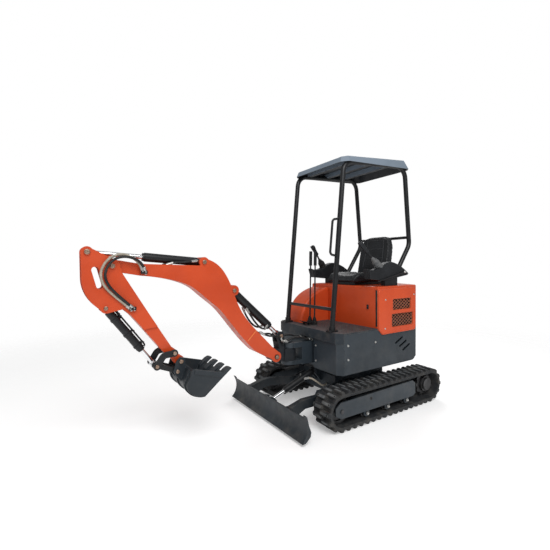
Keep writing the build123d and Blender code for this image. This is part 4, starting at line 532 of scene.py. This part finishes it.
def painted_pit_shade(hand, name):
    """Near-black discs on the lugs' outer ends, 1 mm proud: painted shade standing in for the pits moulded
    there.
    """
    bm = bmesh.new()
    pitch = LOOP / LUG_COUNT
    for i in range(LUG_COUNT):
        for s, y in ((i * pitch, TRACK_HIGH.y - 0.026), ((i + 0.5) * pitch, TRACK_LOW.y + 0.026)):
            foot = belt_point(s, hand * y, LUG_HEIGHT - 0.0005)
            out = belt_point(s, hand * y, LUG_HEIGHT + 0.01) - foot
            lathe(bm, foot, out, [(-0.002, 0.008), (0.0009, 0.008), (0.0011, 0.0068)], 10)
    piece(name, bm, PIT_SHADE, "undercarriage")


painted_pit_shade(1, "painted_pit_shade_left")
painted_pit_shade(-1, "painted_pit_shade_right")

# Bolts, grouped by the body that carries them
OUT_LEFT = Vector((0, 1, 0))
OUT_RIGHT = Vector((0, -1, 0))
FORWARD = Vector((1, 0, 0))
UP = Vector((0, 0, 1))


def bolts(name, body, spots, material=ZINC):
    """Bolt heads at (point, direction, head radius)."""
    bm = bmesh.new()
    for point, direction, size in spots:
        bolt(bm, point, direction, size)
    return piece(name, bm, material, body, 25.0)


FRAME_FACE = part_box("track_frame_left")[1].y / MM
roller_spots = []
for hand, out in ((1, OUT_LEFT), (-1, OUT_RIGHT)):
    for x in (277, 18, -241):
        roller_spots.append((at(x, hand * (FRAME_FACE + 8), 87.3), out, 0.010))
bolts("track_frame_bolts", "undercarriage", roller_spots)
plugs = bmesh.new()
for hand, out in ((1, OUT_LEFT), (-1, OUT_RIGHT)):
    lathe(plugs, at(225, hand * FRAME_FACE, 200), out,
          [(-0.002, 0.014), (0.002, 0.014), (0.003, 0.012), (0.001, 0.008)], 20)
piece("track_frame_plugs", plugs, SEAL, "undercarriage")

SKIRT_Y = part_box("skirt_left")[1].y / MM
skirt_spots = []
for hand, out in ((1, OUT_LEFT), (-1, OUT_RIGHT)):
    for x, z in ((395, 650), (395, 530), (60, 640)):
        skirt_spots.append((at(x, hand * SKIRT_Y, z), out, 0.0075))
FRONT_X = (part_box("skirt_front")[1].x - SLEW_X) / MM
for y in (-141, 141):
    skirt_spots.append((at(FRONT_X, y, 606), FORWARD, 0.0075))
    skirt_spots.append((at(FRONT_X, y, 470), FORWARD, 0.0075))
bolts("skirt_bolts", "upper", skirt_spots)

PANEL_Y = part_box("engine_cover")[1].y / MM
panel_spots = []
for hand, out in ((1, OUT_LEFT), (-1, OUT_RIGHT)):
    for x, z in ((-62, 1010), (-56, 748), (-470, 1040)):
        panel_spots.append((at(x, hand * PANEL_Y, z), out, 0.006))
bolts("side_panel_bolts", "upper", panel_spots)

DECK_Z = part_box("deck")[1].z / MM
COVER_Z = (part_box("seat_pan")[0].z) / MM
POST_Y = 330
FLANGE = 12
flange_spots = []
for foot_x, foot_z in ((457, DECK_Z), (-305, COVER_Z)):
    for hand in (1, -1):
        for dx in (-36, 34):
            for dy in (-18, 18):
                flange_spots.append((at(foot_x + dx, hand * POST_Y + dy, foot_z + FLANGE), UP, 0.006))
bolts("post_flange_bolts", "upper", flange_spots, SATIN_BLACK)

# Pins of the front linkage in side view
BOOM_FOOT, BOOM_CYL_POST = (849, 540), (794, 714)
BOOM_CYL_BOOM, ARM_CYL_BOOM = (1247, 1134), (1496, 1362)
ARM_PIVOT, ARM_CYL_ARM, BUCKET_CYL_ARM = (2138, 1338), (2285, 1431), (2183, 1060)
ROCKER_PIVOT, ROCKER_END = (1744, 707), (1868, 628)
BUCKET_PIVOT, LINK_END = (1694, 637), (1721, 568)


def pin_caps(name, body, spots):
    """Round pin ends on both sides: (pin, half width, radius)."""
    bm = bmesh.new()
    for (x, z), half, radius in spots:
        for out in (OUT_LEFT, OUT_RIGHT):
            start = at(x, 0, z) + out * half * MM
            r = radius * MM
            lathe(bm, start, out,
                  [(-0.004, r * 1.25), (0.002, r * 1.25), (0.003, r * 1.05), (0.007, r * 1.05),
                   (0.009, r * 0.9), (0.009, r * 0.35), (0.006, r * 0.28)], 28)
    return piece(name, bm, PIN_STEEL, body, 28.0)


pin_caps("boom_pin_caps", "boom", [(BOOM_CYL_BOOM, 68, 13), (ARM_CYL_BOOM, 68, 13)])
pin_caps("swing_pin_caps", "swing", [(BOOM_FOOT, 70, 14), (BOOM_CYL_POST, 54, 13)])
pin_caps("arm_pin_caps", "arm", [(ARM_PIVOT, 68, 13), (ARM_CYL_ARM, 68, 14), (BUCKET_CYL_ARM, 66, 11)])
pin_caps("rocker_pin_caps", "rocker", [(ROCKER_PIVOT, 100, 11), (ROCKER_END, 92, 11)])
pin_caps("bucket_pin_caps", "bucket", [(BUCKET_PIVOT, 88, 12), (LINK_END, 86, 11)])

# Weld bead round the boom where its foot begins
weld = bmesh.new()
for y0, y1 in ((59.5, 62), (-62, -59.5)):
    prism(weld, [(1047, 787), (1127, 709), (1133, 715), (1053, 793)], y0, y1, 0.001)
piece("boom_weld_band", weld, WELD_ORANGE, "boom")


# Hoses
HOSE_RADIUS = 0.008
NOSE_HOSE_RADIUS = 0.009


def ferrule(name, point, direction, r, body):
    """Crimped end of a hose of radius r; direction points into the hose."""
    bm = bmesh.new()
    lathe(bm, point - direction.normalized() * 0.012, direction,
          [(0, r * 1.25), (0.012, r * 1.25), (0.013, r * 1.55), (0.02, r * 1.55), (0.021, r * 1.3),
           (0.05, r * 1.3), (0.052, r * 1.12)], 12)
    return piece(name, bm, ZINC, body, 25.0)


def hose(name, points, radius, body, next_body=None, material=HOSE):
    """Rubber hose along a route with a crimped ferrule at each end; where next_body is given, the last ferrule
    rides on it and the hose rides on no body.
    """
    path = smooth_path(points)
    bm = bmesh.new()
    tube(bm, path, radius, 12)
    obj = piece(name, bm, material, None if next_body else body, 60.0)
    ends = [ferrule(f"{name}_start", path[0], path[1] - path[0], radius, body),
            ferrule(f"{name}_end", path[-1], path[-2] - path[-1], radius, next_body or body)]
    if next_body:
        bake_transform(obj)
    return obj


# Two hoses, one of them sleeved, loop from the boom's left side over the arm's pivot and down the arm
hose("nose_hose_1",
     [at(1948, 71, 1296), at(1964, 73, 1348), at(2012, 76, 1396), at(2080, 77, 1420), at(2146, 77, 1402),
      at(2196, 77, 1346), at(2216, 76, 1276), at(2192, 74, 1204), at(2128, 72, 1136), at(2066, 71, 1078),
      at(2030, 70, 1044)], NOSE_HOSE_RADIUS, "boom", "arm", SLEEVE)
hose("nose_hose_2",
     [at(1930, 71, 1292), at(1944, 80, 1340), at(1990, 94, 1384), at(2066, 98, 1404), at(2132, 98, 1386),
      at(2176, 97, 1334), at(2192, 95, 1272), at(2168, 92, 1208), at(2108, 86, 1140), at(2046, 78, 1080),
      at(2010, 71, 1046)], NOSE_HOSE_RADIUS, "boom", "arm")

# Hoses of the boom's cylinder, from its lower port up along its barrel
for index, y in enumerate((-48, 48)):
    hose(f"boom_cylinder_hose_{index + 1}",
         [at(930, y * 0.7, 812), at(962, y, 790), at(1012, y * 1.08, 812), at(1060, y * 1.06, 866),
          at(1098, y * 0.95, 926), at(1122, y * 0.72, 972)], HOSE_RADIUS, "boom_cyl_barrel")

# Hoses of the arm's cylinder, on the boom's back
for index, y in enumerate((-47, 47)):
    hose(f"arm_cylinder_hose_{index + 1}",
         [at(1770, y, 1346), at(1720, y * 1.05, 1362), at(1660, y * 1.06, 1360), at(1610, y * 0.98, 1366),
          at(1552, y * 0.74, 1370)], HOSE_RADIUS, "boom")

# Hoses from the deck's front to the swing post, and on to the boom
for index, y in enumerate((-76, -58, 58, 76)):
    hose(f"swing_hose_{index + 1}",
         [at(468, y, 653), at(540, y, 660), at(620, y * 1.06, 690), at(700, y * 1.06, 690), at(752, y, 664),
          at(782, y * 0.98, 668)], HOSE_RADIUS, "upper", "swing")
for index, y in enumerate((-58, 58)):
    hose(f"foot_hose_{index + 1}",
         [at(786, y, 668), at(806, y * 1.06, 704), at(850, y * 1.1, 726), at(910, y * 1.08, 726),
          at(962, y, 744), at(1002, y * 0.9, 766)],
         HOSE_RADIUS, "swing", "boom")

# Hoses of the blade's cylinder
for index, (hand, finish) in enumerate(((-1, HOSE), (1, SLEEVE))):
    hose(f"blade_hose_{index + 1}",
         [at(520, hand * 33, 286), at(492, hand * 70, 300), at(446, hand * 112, 262),
          at(400, hand * 128, 222), at(350, hand * 118, 216), at(300, hand * 96, 228)],
         HOSE_RADIUS, "blade_cyl_barrel", "undercarriage", finish)

# Steel pipes along the bucket's cylinder
PIPE_WAY = (at(ROCKER_END[0], 0, ROCKER_END[1]) - at(BUCKET_CYL_ARM[0], 0, BUCKET_CYL_ARM[1])).normalized()
PIPE_SIDE = Vector((-PIPE_WAY.z, 0, PIPE_WAY.x))
if PIPE_SIDE.x > 0:
    PIPE_SIDE = -PIPE_SIDE
PIPE_OUT, PIPE_RADIUS = 39, 0.006
CLAMP_IN, CLAMP_OUT, CLAMP_WIDTH = 0.0285, 0.0315, 16


def on_cylinder(s, out, y):
    """Point s along the bucket's cylinder, out towards the arm, across at y (millimetres)."""
    return at(BUCKET_CYL_ARM[0], y, BUCKET_CYL_ARM[1]) + (PIPE_WAY * s + PIPE_SIDE * out) * MM


pipes = bmesh.new()
clamps = bmesh.new()
for y, last in ((13, 376), (-13, 120)):
    run = [on_cylinder(66, PIPE_OUT, y), on_cylinder(last - 14, PIPE_OUT, y), on_cylinder(last, 36, y),
           on_cylinder(last + 3, 26, y)]
    tube(pipes, smooth_path(run), PIPE_RADIUS, 12)
    lathe(pipes, on_cylinder(62, PIPE_OUT, y), PIPE_WAY,
          [(0, 0.008), (0.02, 0.008), (0.021, 0.0095), (0.034, 0.0095)], 6)
for s in (96, 232, 340):
    width = CLAMP_WIDTH * MM
    collar(clamps, on_cylinder(s, 0, 0), PIPE_WAY,
           [(0, CLAMP_IN), (0, CLAMP_OUT), (width, CLAMP_OUT), (width, CLAMP_IN)])
    for y in (-21, 3):
        ends = on_cylinder(s, 27, y), on_cylinder(s + CLAMP_WIDTH, 47, y + 18)
        block(clamps, [min(pair) for pair in zip(*ends)], [max(pair) for pair in zip(*ends)], 0.002)
piece("bucket_cylinder_pipes", pipes, SATIN_BLACK, "bucket_cyl_barrel", 30.0)
piece("bucket_cylinder_clamps", clamps, SATIN_BLACK, "bucket_cyl_barrel", 30.0)

# Clamp blocks that hold the nose hoses, and the hose bracket on the swing post
blocks = bmesh.new()
block(blocks, at(1918, 59, 1282), at(1962, 84, 1306), 0.003)
bolt(blocks, at(1940, 84, 1294), OUT_LEFT, 0.006)
piece("boom_hose_clamp", blocks, SATIN_BLACK, "boom", 30.0)
blocks = bmesh.new()
block(blocks, at(1996, 57, 1036), at(2042, 83, 1060), 0.003)
bolt(blocks, at(2019, 83, 1048), OUT_LEFT, 0.006)
piece("arm_hose_clamp", blocks, SATIN_BLACK, "arm", 30.0)
blocks = bmesh.new()
for y0, y1 in ((43, 86), (-86, -43)):
    block(blocks, at(774, y0, 650), at(800, y1, 662), 0.002)
piece("post_hose_bracket", blocks, SATIN_BLACK, "swing", 30.0)

# Expanded metal in the side vents
VENTS = ((-425, -163, 908, 1010), (-455, -149, 753, 873))
VENT_FACE = 459.0
STRAND, MESH_PITCH, MESH_SLOPE = 0.0036, 32.0, 0.7


def strands(bm, window, y, slope):
    """Parallel slanted strands across a vent window."""
    x0, x1, z0, z1 = window
    span = abs(slope) * (x1 - x0)
    start = z0 - span if slope > 0 else z0
    stop = z1 if slope > 0 else z1 + span
    c = start + MESH_PITCH / 2
    while c < stop:
        ends = []
        for x in (x0, x1):
            z = c + slope * (x - x0)
            z = min(max(z, z0), z1)
            ends.append((x0 + (z - c) / slope, z))
        if abs(ends[1][0] - ends[0][0]) > 6:
            tube(bm, [at(ends[0][0], y, ends[0][1]), at(ends[1][0], y, ends[1][1])], STRAND, 4)
        c += MESH_PITCH


mesh = bmesh.new()
for hand in (1, -1):
    for window in VENTS:
        strands(mesh, window, hand * VENT_FACE, MESH_SLOPE)
        strands(mesh, window, hand * (VENT_FACE - 1), -MESH_SLOPE)
        x0, x1, z0, z1 = window
        rim = [(x0, z0), (x1, z0), (x1, z1), (x0, z1)]
        for side in zip(rim, rim[1:] + rim[:1]):
            tube(mesh, [at(x, hand * VENT_FACE, z) for x, z in side], 0.003, 6)
vents = piece("vent_mesh", mesh, VENT_STEEL, "upper")
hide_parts("side_vents")

# Dark pleated sheet behind each side's vents: its near-black colour is painted shade for the engine bay seen
# through them
BAFFLE_Y, PLEAT, PLEAT_DEPTH = 436.0, 9.0, 7.0
baffle = bmesh.new()
for hand in (1, -1):
    outline = [(-470 + PLEAT * i, BAFFLE_Y + (PLEAT_DEPTH if i % 2 else 0.0)) for i in range(38)]
    outline += [(outline[-1][0], BAFFLE_Y - 4), (outline[0][0], BAFFLE_Y - 4)]
    low_ring = [baffle.verts.new(at(x, hand * y, 738)) for x, y in outline]
    high_ring = [baffle.verts.new(at(x, hand * y, 1024)) for x, y in outline]
    bridge(baffle, low_ring, high_ring)
    baffle.faces.new(low_ring)
    baffle.faces.new(high_ring)
piece("vent_shade_sheet", baffle, SEAL, "upper")

# Rolled edge of the raised side panels
PANEL_LOW, PANEL_HIGH, PANEL_BACK, PANEL_FRONT, PANEL_CUT, PANEL_ROUND = 696, 1114, -498, 27, 48, 24
edge = bmesh.new()
outline = [(-240, PANEL_LOW), (PANEL_BACK + PANEL_ROUND, PANEL_LOW), (PANEL_BACK, PANEL_LOW + PANEL_ROUND),
           (PANEL_BACK, PANEL_HIGH - PANEL_ROUND), (PANEL_BACK + PANEL_ROUND, PANEL_HIGH),
           (PANEL_FRONT - PANEL_ROUND, PANEL_HIGH), (PANEL_FRONT, PANEL_HIGH - PANEL_ROUND),
           (PANEL_FRONT, PANEL_LOW + PANEL_CUT), (PANEL_FRONT - PANEL_CUT, PANEL_LOW), (-240, PANEL_LOW)]
INSET = 7.0
middle_x, middle_z = (PANEL_BACK + PANEL_FRONT) / 2, (PANEL_LOW + PANEL_HIGH) / 2
drawn_in = []
for x, z in outline:
    if abs(x - middle_x) > 60:
        x -= math.copysign(INSET, x - middle_x)
    drawn_in.append((x, z - math.copysign(INSET, z - middle_z)))
for hand in (1, -1):
    tube(edge, [at(x, hand * (PANEL_Y - 4.5), z) for x, z in drawn_in], 0.0075, 12)
piece("side_panel_edge", edge, HOOD_ORANGE, "upper", 60.0)

# Seal and latch on the front of the seat base
COVER_X = 30
trim = bmesh.new()
seal_outline = [(COVER_X - 2, 772), (COVER_X + 3, 772), (COVER_X + 3, 1100), (COVER_X - 2, 1100)]
prism(trim, seal_outline, 438, 456, 0.002)
piece("cover_seal", trim, SEAL, "upper")
trim = bmesh.new()
block(trim, at(COVER_X - 1, 334, 920), at(COVER_X + 4, 356, 962), 0.002)
block(trim, at(COVER_X + 3, 338, 928), at(COVER_X + 12, 352, 946), 0.003)
lathe(trim, at(COVER_X + 3, 345, 954), FORWARD, [(0, 0.005), (0.004, 0.005), (0.005, 0.004)], 16)
piece("cover_latch", trim, PLASTIC, "upper")

# Bonnet latch, laid on the bonnet's curved skin
LATCH_Y, LATCH_RISE = 0.295, 0.205
skin = surface_of(NODES["rear_bonnet"].data)
bonnet_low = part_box("rear_bonnet")[0]
behind = Vector((bonnet_low.x - 0.5, LATCH_Y, bonnet_low.z + LATCH_RISE))
spot, out = skin.ray_cast(behind, FORWARD)[:2]
trim = bmesh.new()
block(trim, (-0.003, -0.035, -0.045), (0.003, 0.035, 0.045), 0.003)
block(trim, (0.002, -0.02, -0.025), (0.008, 0.02, 0.005), 0.003)
turn = Matrix((out, UP.cross(out).normalized(), UP)).transposed().to_4x4()
bmesh.ops.transform(trim, matrix=Matrix.Translation(spot) @ turn, verts=trim.verts)
piece("bonnet_latch", trim, PLASTIC, "bonnet")

# Floor mat: short raised bars laid both ways
studs = bmesh.new()
for row, x in enumerate(range(60, 400, 24)):
    for column, y in enumerate(range(-186, 440, 24)):
        if 295 < x < 375 and -170 < y < -10:
            continue
        turn = math.pi / 4 if (row + column) % 2 else -math.pi / 4
        way = Vector((math.cos(turn), math.sin(turn), 0))
        side = Vector((-way.y, way.x, 0))
        foot = at(x, y, DECK_Z)
        low_ring, high_ring = [], []
        for a, b in ((-1, -1), (1, -1), (1, 1), (-1, 1)):
            low_ring.append(studs.verts.new(foot + way * a * 0.0085 + side * b * 0.0032 - UP * 0.0005))
            high_ring.append(studs.verts.new(foot + way * a * 0.0065 + side * b * 0.0016 + UP * 0.0016))
        bridge(studs, low_ring, high_ring)
        studs.faces.new(high_ring)
        studs.faces.new(low_ring)
piece("mat_studs", studs, MAT_RUBBER, "upper")

# Gaiters, grips and pedals
STICK_FOOT, STICK_TOP = (-73, 394, 1302), (118, 340, 1520)


def bellows(bm, foot, way, wide, narrow, height, folds):
    """Ribbed rubber boot that tapers upwards."""
    profile = [(-0.004, wide)]
    for i in range(folds * 2 + 1):
        u = i / (folds * 2)
        radius = wide + (narrow - wide) * u ** 1.4
        profile.append((height * u, radius * (1.0 if i % 2 == 0 else 0.84)))
    profile.append((height + 0.004, narrow * 0.7))
    lathe(bm, foot, way, profile, 24)


for hand, name, finish in ((1, "left", GAITER), (-1, "right", SEAL)):
    foot = at(STICK_FOOT[0], hand * STICK_FOOT[1], STICK_FOOT[2])
    top_end = at(STICK_TOP[0], hand * STICK_TOP[1], STICK_TOP[2])
    way = (top_end - foot).normalized()
    boot = bmesh.new()
    lathe(boot, foot, way, [(-0.004, 0.036), (0.006, 0.0385), (0.014, 0.033), (0.022, 0.0375), (0.03, 0.0325),
                            (0.038, 0.0365), (0.046, 0.032), (0.054, 0.0355), (0.062, 0.0315), (0.07, 0.0345),
                            (0.078, 0.030), (0.092, 0.021), (0.1, 0.022), (0.108, 0.015), (0.116, 0.015),
                            (0.124, 0.0105)], 28)
    piece(f"gaiter_{name}", boot, finish, "upper", 50.0)
    grip = bmesh.new()
    start = top_end - way * 0.112
    lathe(grip, start, way, [(0, 0.015), (0.006, 0.0215), (0.02, 0.0195), (0.05, 0.0188), (0.08, 0.0205),
                             (0.098, 0.0235), (0.112, 0.0235), (0.124, 0.019), (0.13, 0.009)], 24)
    lathe(grip, start + way * 0.108 + FORWARD * 0.012, FORWARD + UP * 0.3,
          [(0, 0.008), (0.018, 0.008), (0.022, 0.005)], 16)
    piece(f"grip_{name}", grip, PLASTIC, "upper", 40.0)

boots = bmesh.new()
pedals = bmesh.new()
for y in (-125, -55):
    bellows(boots, at(335, y, DECK_Z), UP, 0.03, 0.012, 0.07, 5)
    prism(pedals, [(386, 762), (446, 790), (444, 795), (382, 767)], y - 26, y + 26, 0.002)
    prism(pedals, [(404, 754), (412, 754), (416, 779), (408, 775)], y - 9, y + 9)
    for step in (0, 1, 2, 3):
        x = 394 + 13 * step
        z = 767.5 + 13 * step * 28 / 60 + 3.2
        tube(pedals, [at(x, y - 21, z), at(x, y + 21, z)], 0.002, 8)
piece("lever_boots", boots, SEAL, "upper", 50.0)
piece("travel_pedals", pedals, SATIN_BLACK, "upper", 35.0)

stay = bmesh.new()
stay_route = [at(-14, 430, 1176), at(-20, 440, 1178), at(-190, 441, 1216), at(-366, 441, 1256)]
tube(stay, smooth_path(stay_route), 0.0045, 10)
piece("armrest_lever", stay, SATIN_BLACK, "upper", 40.0)
knob = bmesh.new()
lathe(knob, at(-360, 441, 1254), at(-400, 441, 1263) - at(-360, 441, 1254),
      [(0, 0.006), (0.004, 0.010), (0.018, 0.012), (0.028, 0.010), (0.032, 0.005)], 18)
piece("armrest_knob", knob, ZINC, "upper", 40.0)

# Seat
CUSHION_LOW, CUSHION_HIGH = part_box("seat_cushion")
BACK_LOW, BACK_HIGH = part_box("seat_back")


def puff(obj, cap, pressure=4.0, voxel=0.006):
    """Swells a closed mesh like stuffed fabric and keeps each point within cap of its start."""
    mod = obj.modifiers.new("remesh", "REMESH")
    mod.mode = "VOXEL"
    mod.voxel_size = voxel
    bpy.context.view_layer.objects.active = obj
    bpy.ops.object.modifier_apply(modifier=mod.name)
    start = [v.co.copy() for v in obj.data.vertices]
    cloth = obj.modifiers.new("cloth", "CLOTH")
    cloth.settings.use_pressure = True
    cloth.settings.uniform_pressure_force = pressure
    cloth.settings.effector_weights.gravity = 0.0
    cloth.settings.quality = 4
    cloth.collision_settings.use_collision = False
    scene = bpy.context.scene
    for number in range(1, 21):
        scene.frame_set(number)
    bpy.ops.object.modifier_apply(modifier=cloth.name)
    scene.frame_set(1)
    for vert, rest in zip(obj.data.vertices, start):
        moved = vert.co - rest
        if moved.length > cap:
            vert.co = rest + moved.normalized() * cap
    for face in obj.data.polygons:
        face.use_smooth = True


def cushion_form():
    """Seat pad: low middle, raised side bolsters, rolled front."""
    bm = bmesh.new()
    low, high = CUSHION_LOW, CUSHION_HIGH
    inset = 0.012
    count_x, count_y = 14, 16
    top, bottom = {}, {}
    for i in range(count_x + 1):
        for j in range(count_y + 1):
            u = i / count_x
            v = 2 * j / count_y - 1
            corner = 1 - 0.06 * max(0, u - 0.75) * 4 * abs(v) ** 3
            x = low.x + inset + (high.x - low.x - 2 * inset) * u
            y = v * corner * (high.y - inset)
            bolster = 0.035 * max(0.0, (abs(v) - 0.62) / 0.38) ** 0.8
            nose = -0.045 * max(0.0, (u - 0.82) / 0.18) ** 2
            edge = -0.03 * max(0.0, (abs(v) - 0.9) / 0.1) ** 2
            dip = -0.012 * math.cos(math.pi * (u - 0.4) / 1.4) * (1 - abs(v))
            z = high.z - 0.047 + bolster + nose + edge + dip
            top[i, j] = bm.verts.new((x, y, z))
            bottom[i, j] = bm.verts.new((x, y * 0.97, low.z + 0.012))
    for i in range(count_x):
        for j in range(count_y):
            bm.faces.new((top[i, j], top[i + 1, j], top[i + 1, j + 1], top[i, j + 1]))
            bm.faces.new((bottom[i, j], bottom[i, j + 1], bottom[i + 1, j + 1], bottom[i + 1, j]))
    for i in range(count_x):
        for j in (0, count_y):
            bm.faces.new((top[i, j], bottom[i, j], bottom[i + 1, j], top[i + 1, j]))
    for j in range(count_y):
        for i in (0, count_x):
            bm.faces.new((top[i, j], top[i, j + 1], bottom[i, j + 1], bottom[i, j]))
    return bm


def back_form():
    """Backrest: narrower rounded shoulders, side wings and a lumbar swell."""
    bm = bmesh.new()
    count_z, count_y = 20, 16
    front, rear = {}, {}
    for i in range(count_z + 1):
        u = i / count_z
        z = BACK_LOW.z + 0.03 + (BACK_HIGH.z - BACK_LOW.z - 0.042) * u
        taper = 1 - 0.2 * max(0.0, (u - 0.6) / 0.4) ** 1.8
        lean = -0.078 * u
        for j in range(count_y + 1):
            v = 2 * j / count_y - 1
            shoulder = -0.06 * max(0.0, abs(v) - 0.5) ** 1.5 * max(0.0, (u - 0.8) / 0.2)
            y = v * taper * (BACK_HIGH.y - 0.012)
            wing = 0.03 * max(0.0, (abs(v) - 0.55) / 0.45) ** 1.2 * (1 - 0.45 * u)
            lumbar = 0.014 * math.exp(-((u - 0.3) / 0.2) ** 2) * (1 - v * v)
            x = at(-406, 0, 0).x + lean
            front[i, j] = bm.verts.new((x + wing + lumbar - 0.008, y, z + shoulder))
            rear[i, j] = bm.verts.new((x - 0.062 + 0.018 * v * v, y * 0.96, z + shoulder))
    for i in range(count_z):
        for j in range(count_y):
            bm.faces.new((front[i, j], front[i, j + 1], front[i + 1, j + 1], front[i + 1, j]))
            bm.faces.new((rear[i, j], rear[i + 1, j], rear[i + 1, j + 1], rear[i, j + 1]))
    for i in range(count_z):
        for j in (0, count_y):
            bm.faces.new((front[i, j], front[i + 1, j], rear[i + 1, j], rear[i, j]))
    for j in range(count_y):
        for i in (0, count_z):
            bm.faces.new((front[i, j], rear[i, j], rear[i, j + 1], front[i, j + 1]))
    return bm


def seam_on(bm, surface, spots, way):
    """Sewn line laid on a pad: spots are cast onto it along way."""
    path = []
    for spot in spots:
        found = surface.ray_cast(spot, way)[0]
        if found:
            path.append(found - way * 0.0006)
    if len(path) > 2:
        tube(bm, path, 0.0028, 8)


pads = {}
for pad_name, form, stood_for in (("seat_pad", cushion_form, "seat_cushion"),
                                  ("seat_backrest", back_form, "seat_back")):
    pad = piece(pad_name, form(), SEAT_VINYL, None)
    puff(pad, 0.012)
    smooth = pad.modifiers.new("smooth", "SUBSURF")
    smooth.levels = 1
    smooth.render_levels = 1
    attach(pad, "upper")
    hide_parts(stood_for)
    pads[pad_name] = surface_of(pad.data)

DOWN = Vector((0, 0, -1))
BACKWARD = Vector((-1, 0, 0))
SEAM_STEPS = [i / 24 for i in range(25)]
SEAM_TAPER = 0.16
FAR = 2.0
seams = bmesh.new()
cushion_y = (CUSHION_HIGH.y - 0.012) * 0.6
cushion_x, cushion_run = CUSHION_LOW.x + 0.05, CUSHION_HIGH.x - CUSHION_LOW.x - 0.1
back_z, back_run = BACK_LOW.z + 0.14, BACK_HIGH.z - BACK_LOW.z - 0.2
for hand in (1, -1):
    spots = [Vector((cushion_x + cushion_run * u, hand * cushion_y, FAR)) for u in SEAM_STEPS]
    seam_on(seams, pads["seat_pad"], spots, DOWN)
for share in (0.3, 0.62):
    spots = [Vector((cushion_x + cushion_run * share, cushion_y * (2 * u - 1), FAR)) for u in SEAM_STEPS]
    seam_on(seams, pads["seat_pad"], spots, DOWN)
for hand in (1, -1):
    spots = [Vector((FAR, hand * cushion_y * (1 - SEAM_TAPER * u), back_z + back_run * u)) for u in SEAM_STEPS]
    seam_on(seams, pads["seat_backrest"], spots, BACKWARD)
for share in (0.34, 0.68, 1.0):
    half = cushion_y * (1 - SEAM_TAPER * share)
    spots = [Vector((FAR, half * (2 * u - 1), back_z + back_run * share)) for u in SEAM_STEPS]
    seam_on(seams, pads["seat_backrest"], spots, BACKWARD)
piece("seat_seams", seams, SEAM, "upper", 60.0)

# Stage, light and camera
FLOOR_RADIUS = 9.0


def fading_floor(name, tone, glow):
    """Pale floor that fades into the white round it, far from the object."""
    made = Recipe(name)
    duller = colour(*(c * 0.985 for c in tone[:3]))
    made.set(Base_Color=made.mix(made.span(made.noise(0.8, 2.0), 0.3, 0.7), tone, duller),
             Roughness=0.9, Specular_IOR_Level=0.1, Emission_Color=colour(1, 1, 1), Emission_Strength=glow)
    far = made.nodes.new("ShaderNodeVectorMath")
    far.operation = "LENGTH"
    made.links.new(made.place, far.inputs[0])
    clear = made.nodes.new("ShaderNodeBsdfTransparent")
    both = made.nodes.new("ShaderNodeMixShader")
    made.links.new(made.span(far.outputs["Value"], 2.4, 6.5), both.inputs[0])
    made.links.new(made.shader.outputs[0], both.inputs[1])
    made.links.new(clear.outputs[0], both.inputs[2])
    made.links.new(both.outputs[0], made.nodes["Material Output"].inputs["Surface"])
    return made.material


floor_form = bmesh.new()
bmesh.ops.create_circle(floor_form, cap_ends=True, segments=64, radius=FLOOR_RADIUS)
floor_mesh = bpy.data.meshes.new("floor")
floor_form.to_mesh(floor_mesh)
floor_form.free()
floor = bpy.data.objects.new("floor", floor_mesh)
bpy.context.scene.collection.objects.link(floor)
floor.data.materials.append(fading_floor("pale_floor", colour(0.9, 0.9, 0.9), 0.28))

world = bpy.data.worlds.new("studio")
bpy.context.scene.world = world
world.use_nodes = True
tree = world.node_tree
background = tree.nodes["Background"]
background.inputs["Color"].default_value = colour(1.0, 1.0, 1.0)
rays = tree.nodes.new("ShaderNodeLightPath")
seen = tree.nodes.new("ShaderNodeMath")
seen.operation = "MAXIMUM"
tree.links.new(rays.outputs["Is Camera Ray"], seen.inputs[0])
tree.links.new(rays.outputs["Is Transmission Ray"], seen.inputs[1])
level = tree.nodes.new("ShaderNodeMapRange")
tree.links.new(seen.outputs[0], level.inputs["Value"])
level.inputs["To Min"].default_value = 0.42
level.inputs["To Max"].default_value = 1.0
tree.links.new(level.outputs["Result"], background.inputs["Strength"])


def lamp(name, place, target, power, size):
    """Square area lamp turned towards a target."""
    data = bpy.data.lights.new(name, "AREA")
    data.energy = power
    data.size = size
    obj = bpy.data.objects.new(name, data)
    obj.location = place
    obj.rotation_mode = "QUATERNION"
    obj.rotation_quaternion = (Vector(target) - Vector(place)).to_track_quat("-Z", "Y")
    bpy.context.scene.collection.objects.link(obj)


lamp("key", (1.5, 4.5, 5.5), (0, 0, 1.0), 300.0, 4.0)
lamp("rim", (-4.0, -3.0, 5.0), (0, 0, 1.0), 120.0, 3.0)

CAMERA_PLACE = at(2508, 2617, 1334)
YAW, PITCH, ROLL = math.radians(-122.8286), math.radians(-1.6075), math.radians(-0.5809)
FOCAL_PIXELS, FRAME_PIXELS, SENSOR = 354.849, 550.0, 36.0
ahead = Vector((math.cos(PITCH) * math.cos(YAW), math.cos(PITCH) * math.sin(YAW), math.sin(PITCH)))
across = Vector((math.sin(YAW), -math.cos(YAW), 0))
upward = across.cross(ahead)
right = across * math.cos(ROLL) + upward * math.sin(ROLL)
top = upward * math.cos(ROLL) - across * math.sin(ROLL)
camera_data = bpy.data.cameras.new("camera")
camera_data.sensor_width = SENSOR
camera_data.lens = FOCAL_PIXELS / FRAME_PIXELS * SENSOR
camera = bpy.data.objects.new("camera", camera_data)
camera.matrix_world = Matrix.Translation(CAMERA_PLACE) @ Matrix((right, top, -ahead)).transposed().to_4x4()
bpy.context.scene.collection.objects.link(camera)
bpy.context.scene.camera = camera
bpy.context.scene.view_settings.view_transform = "Standard"
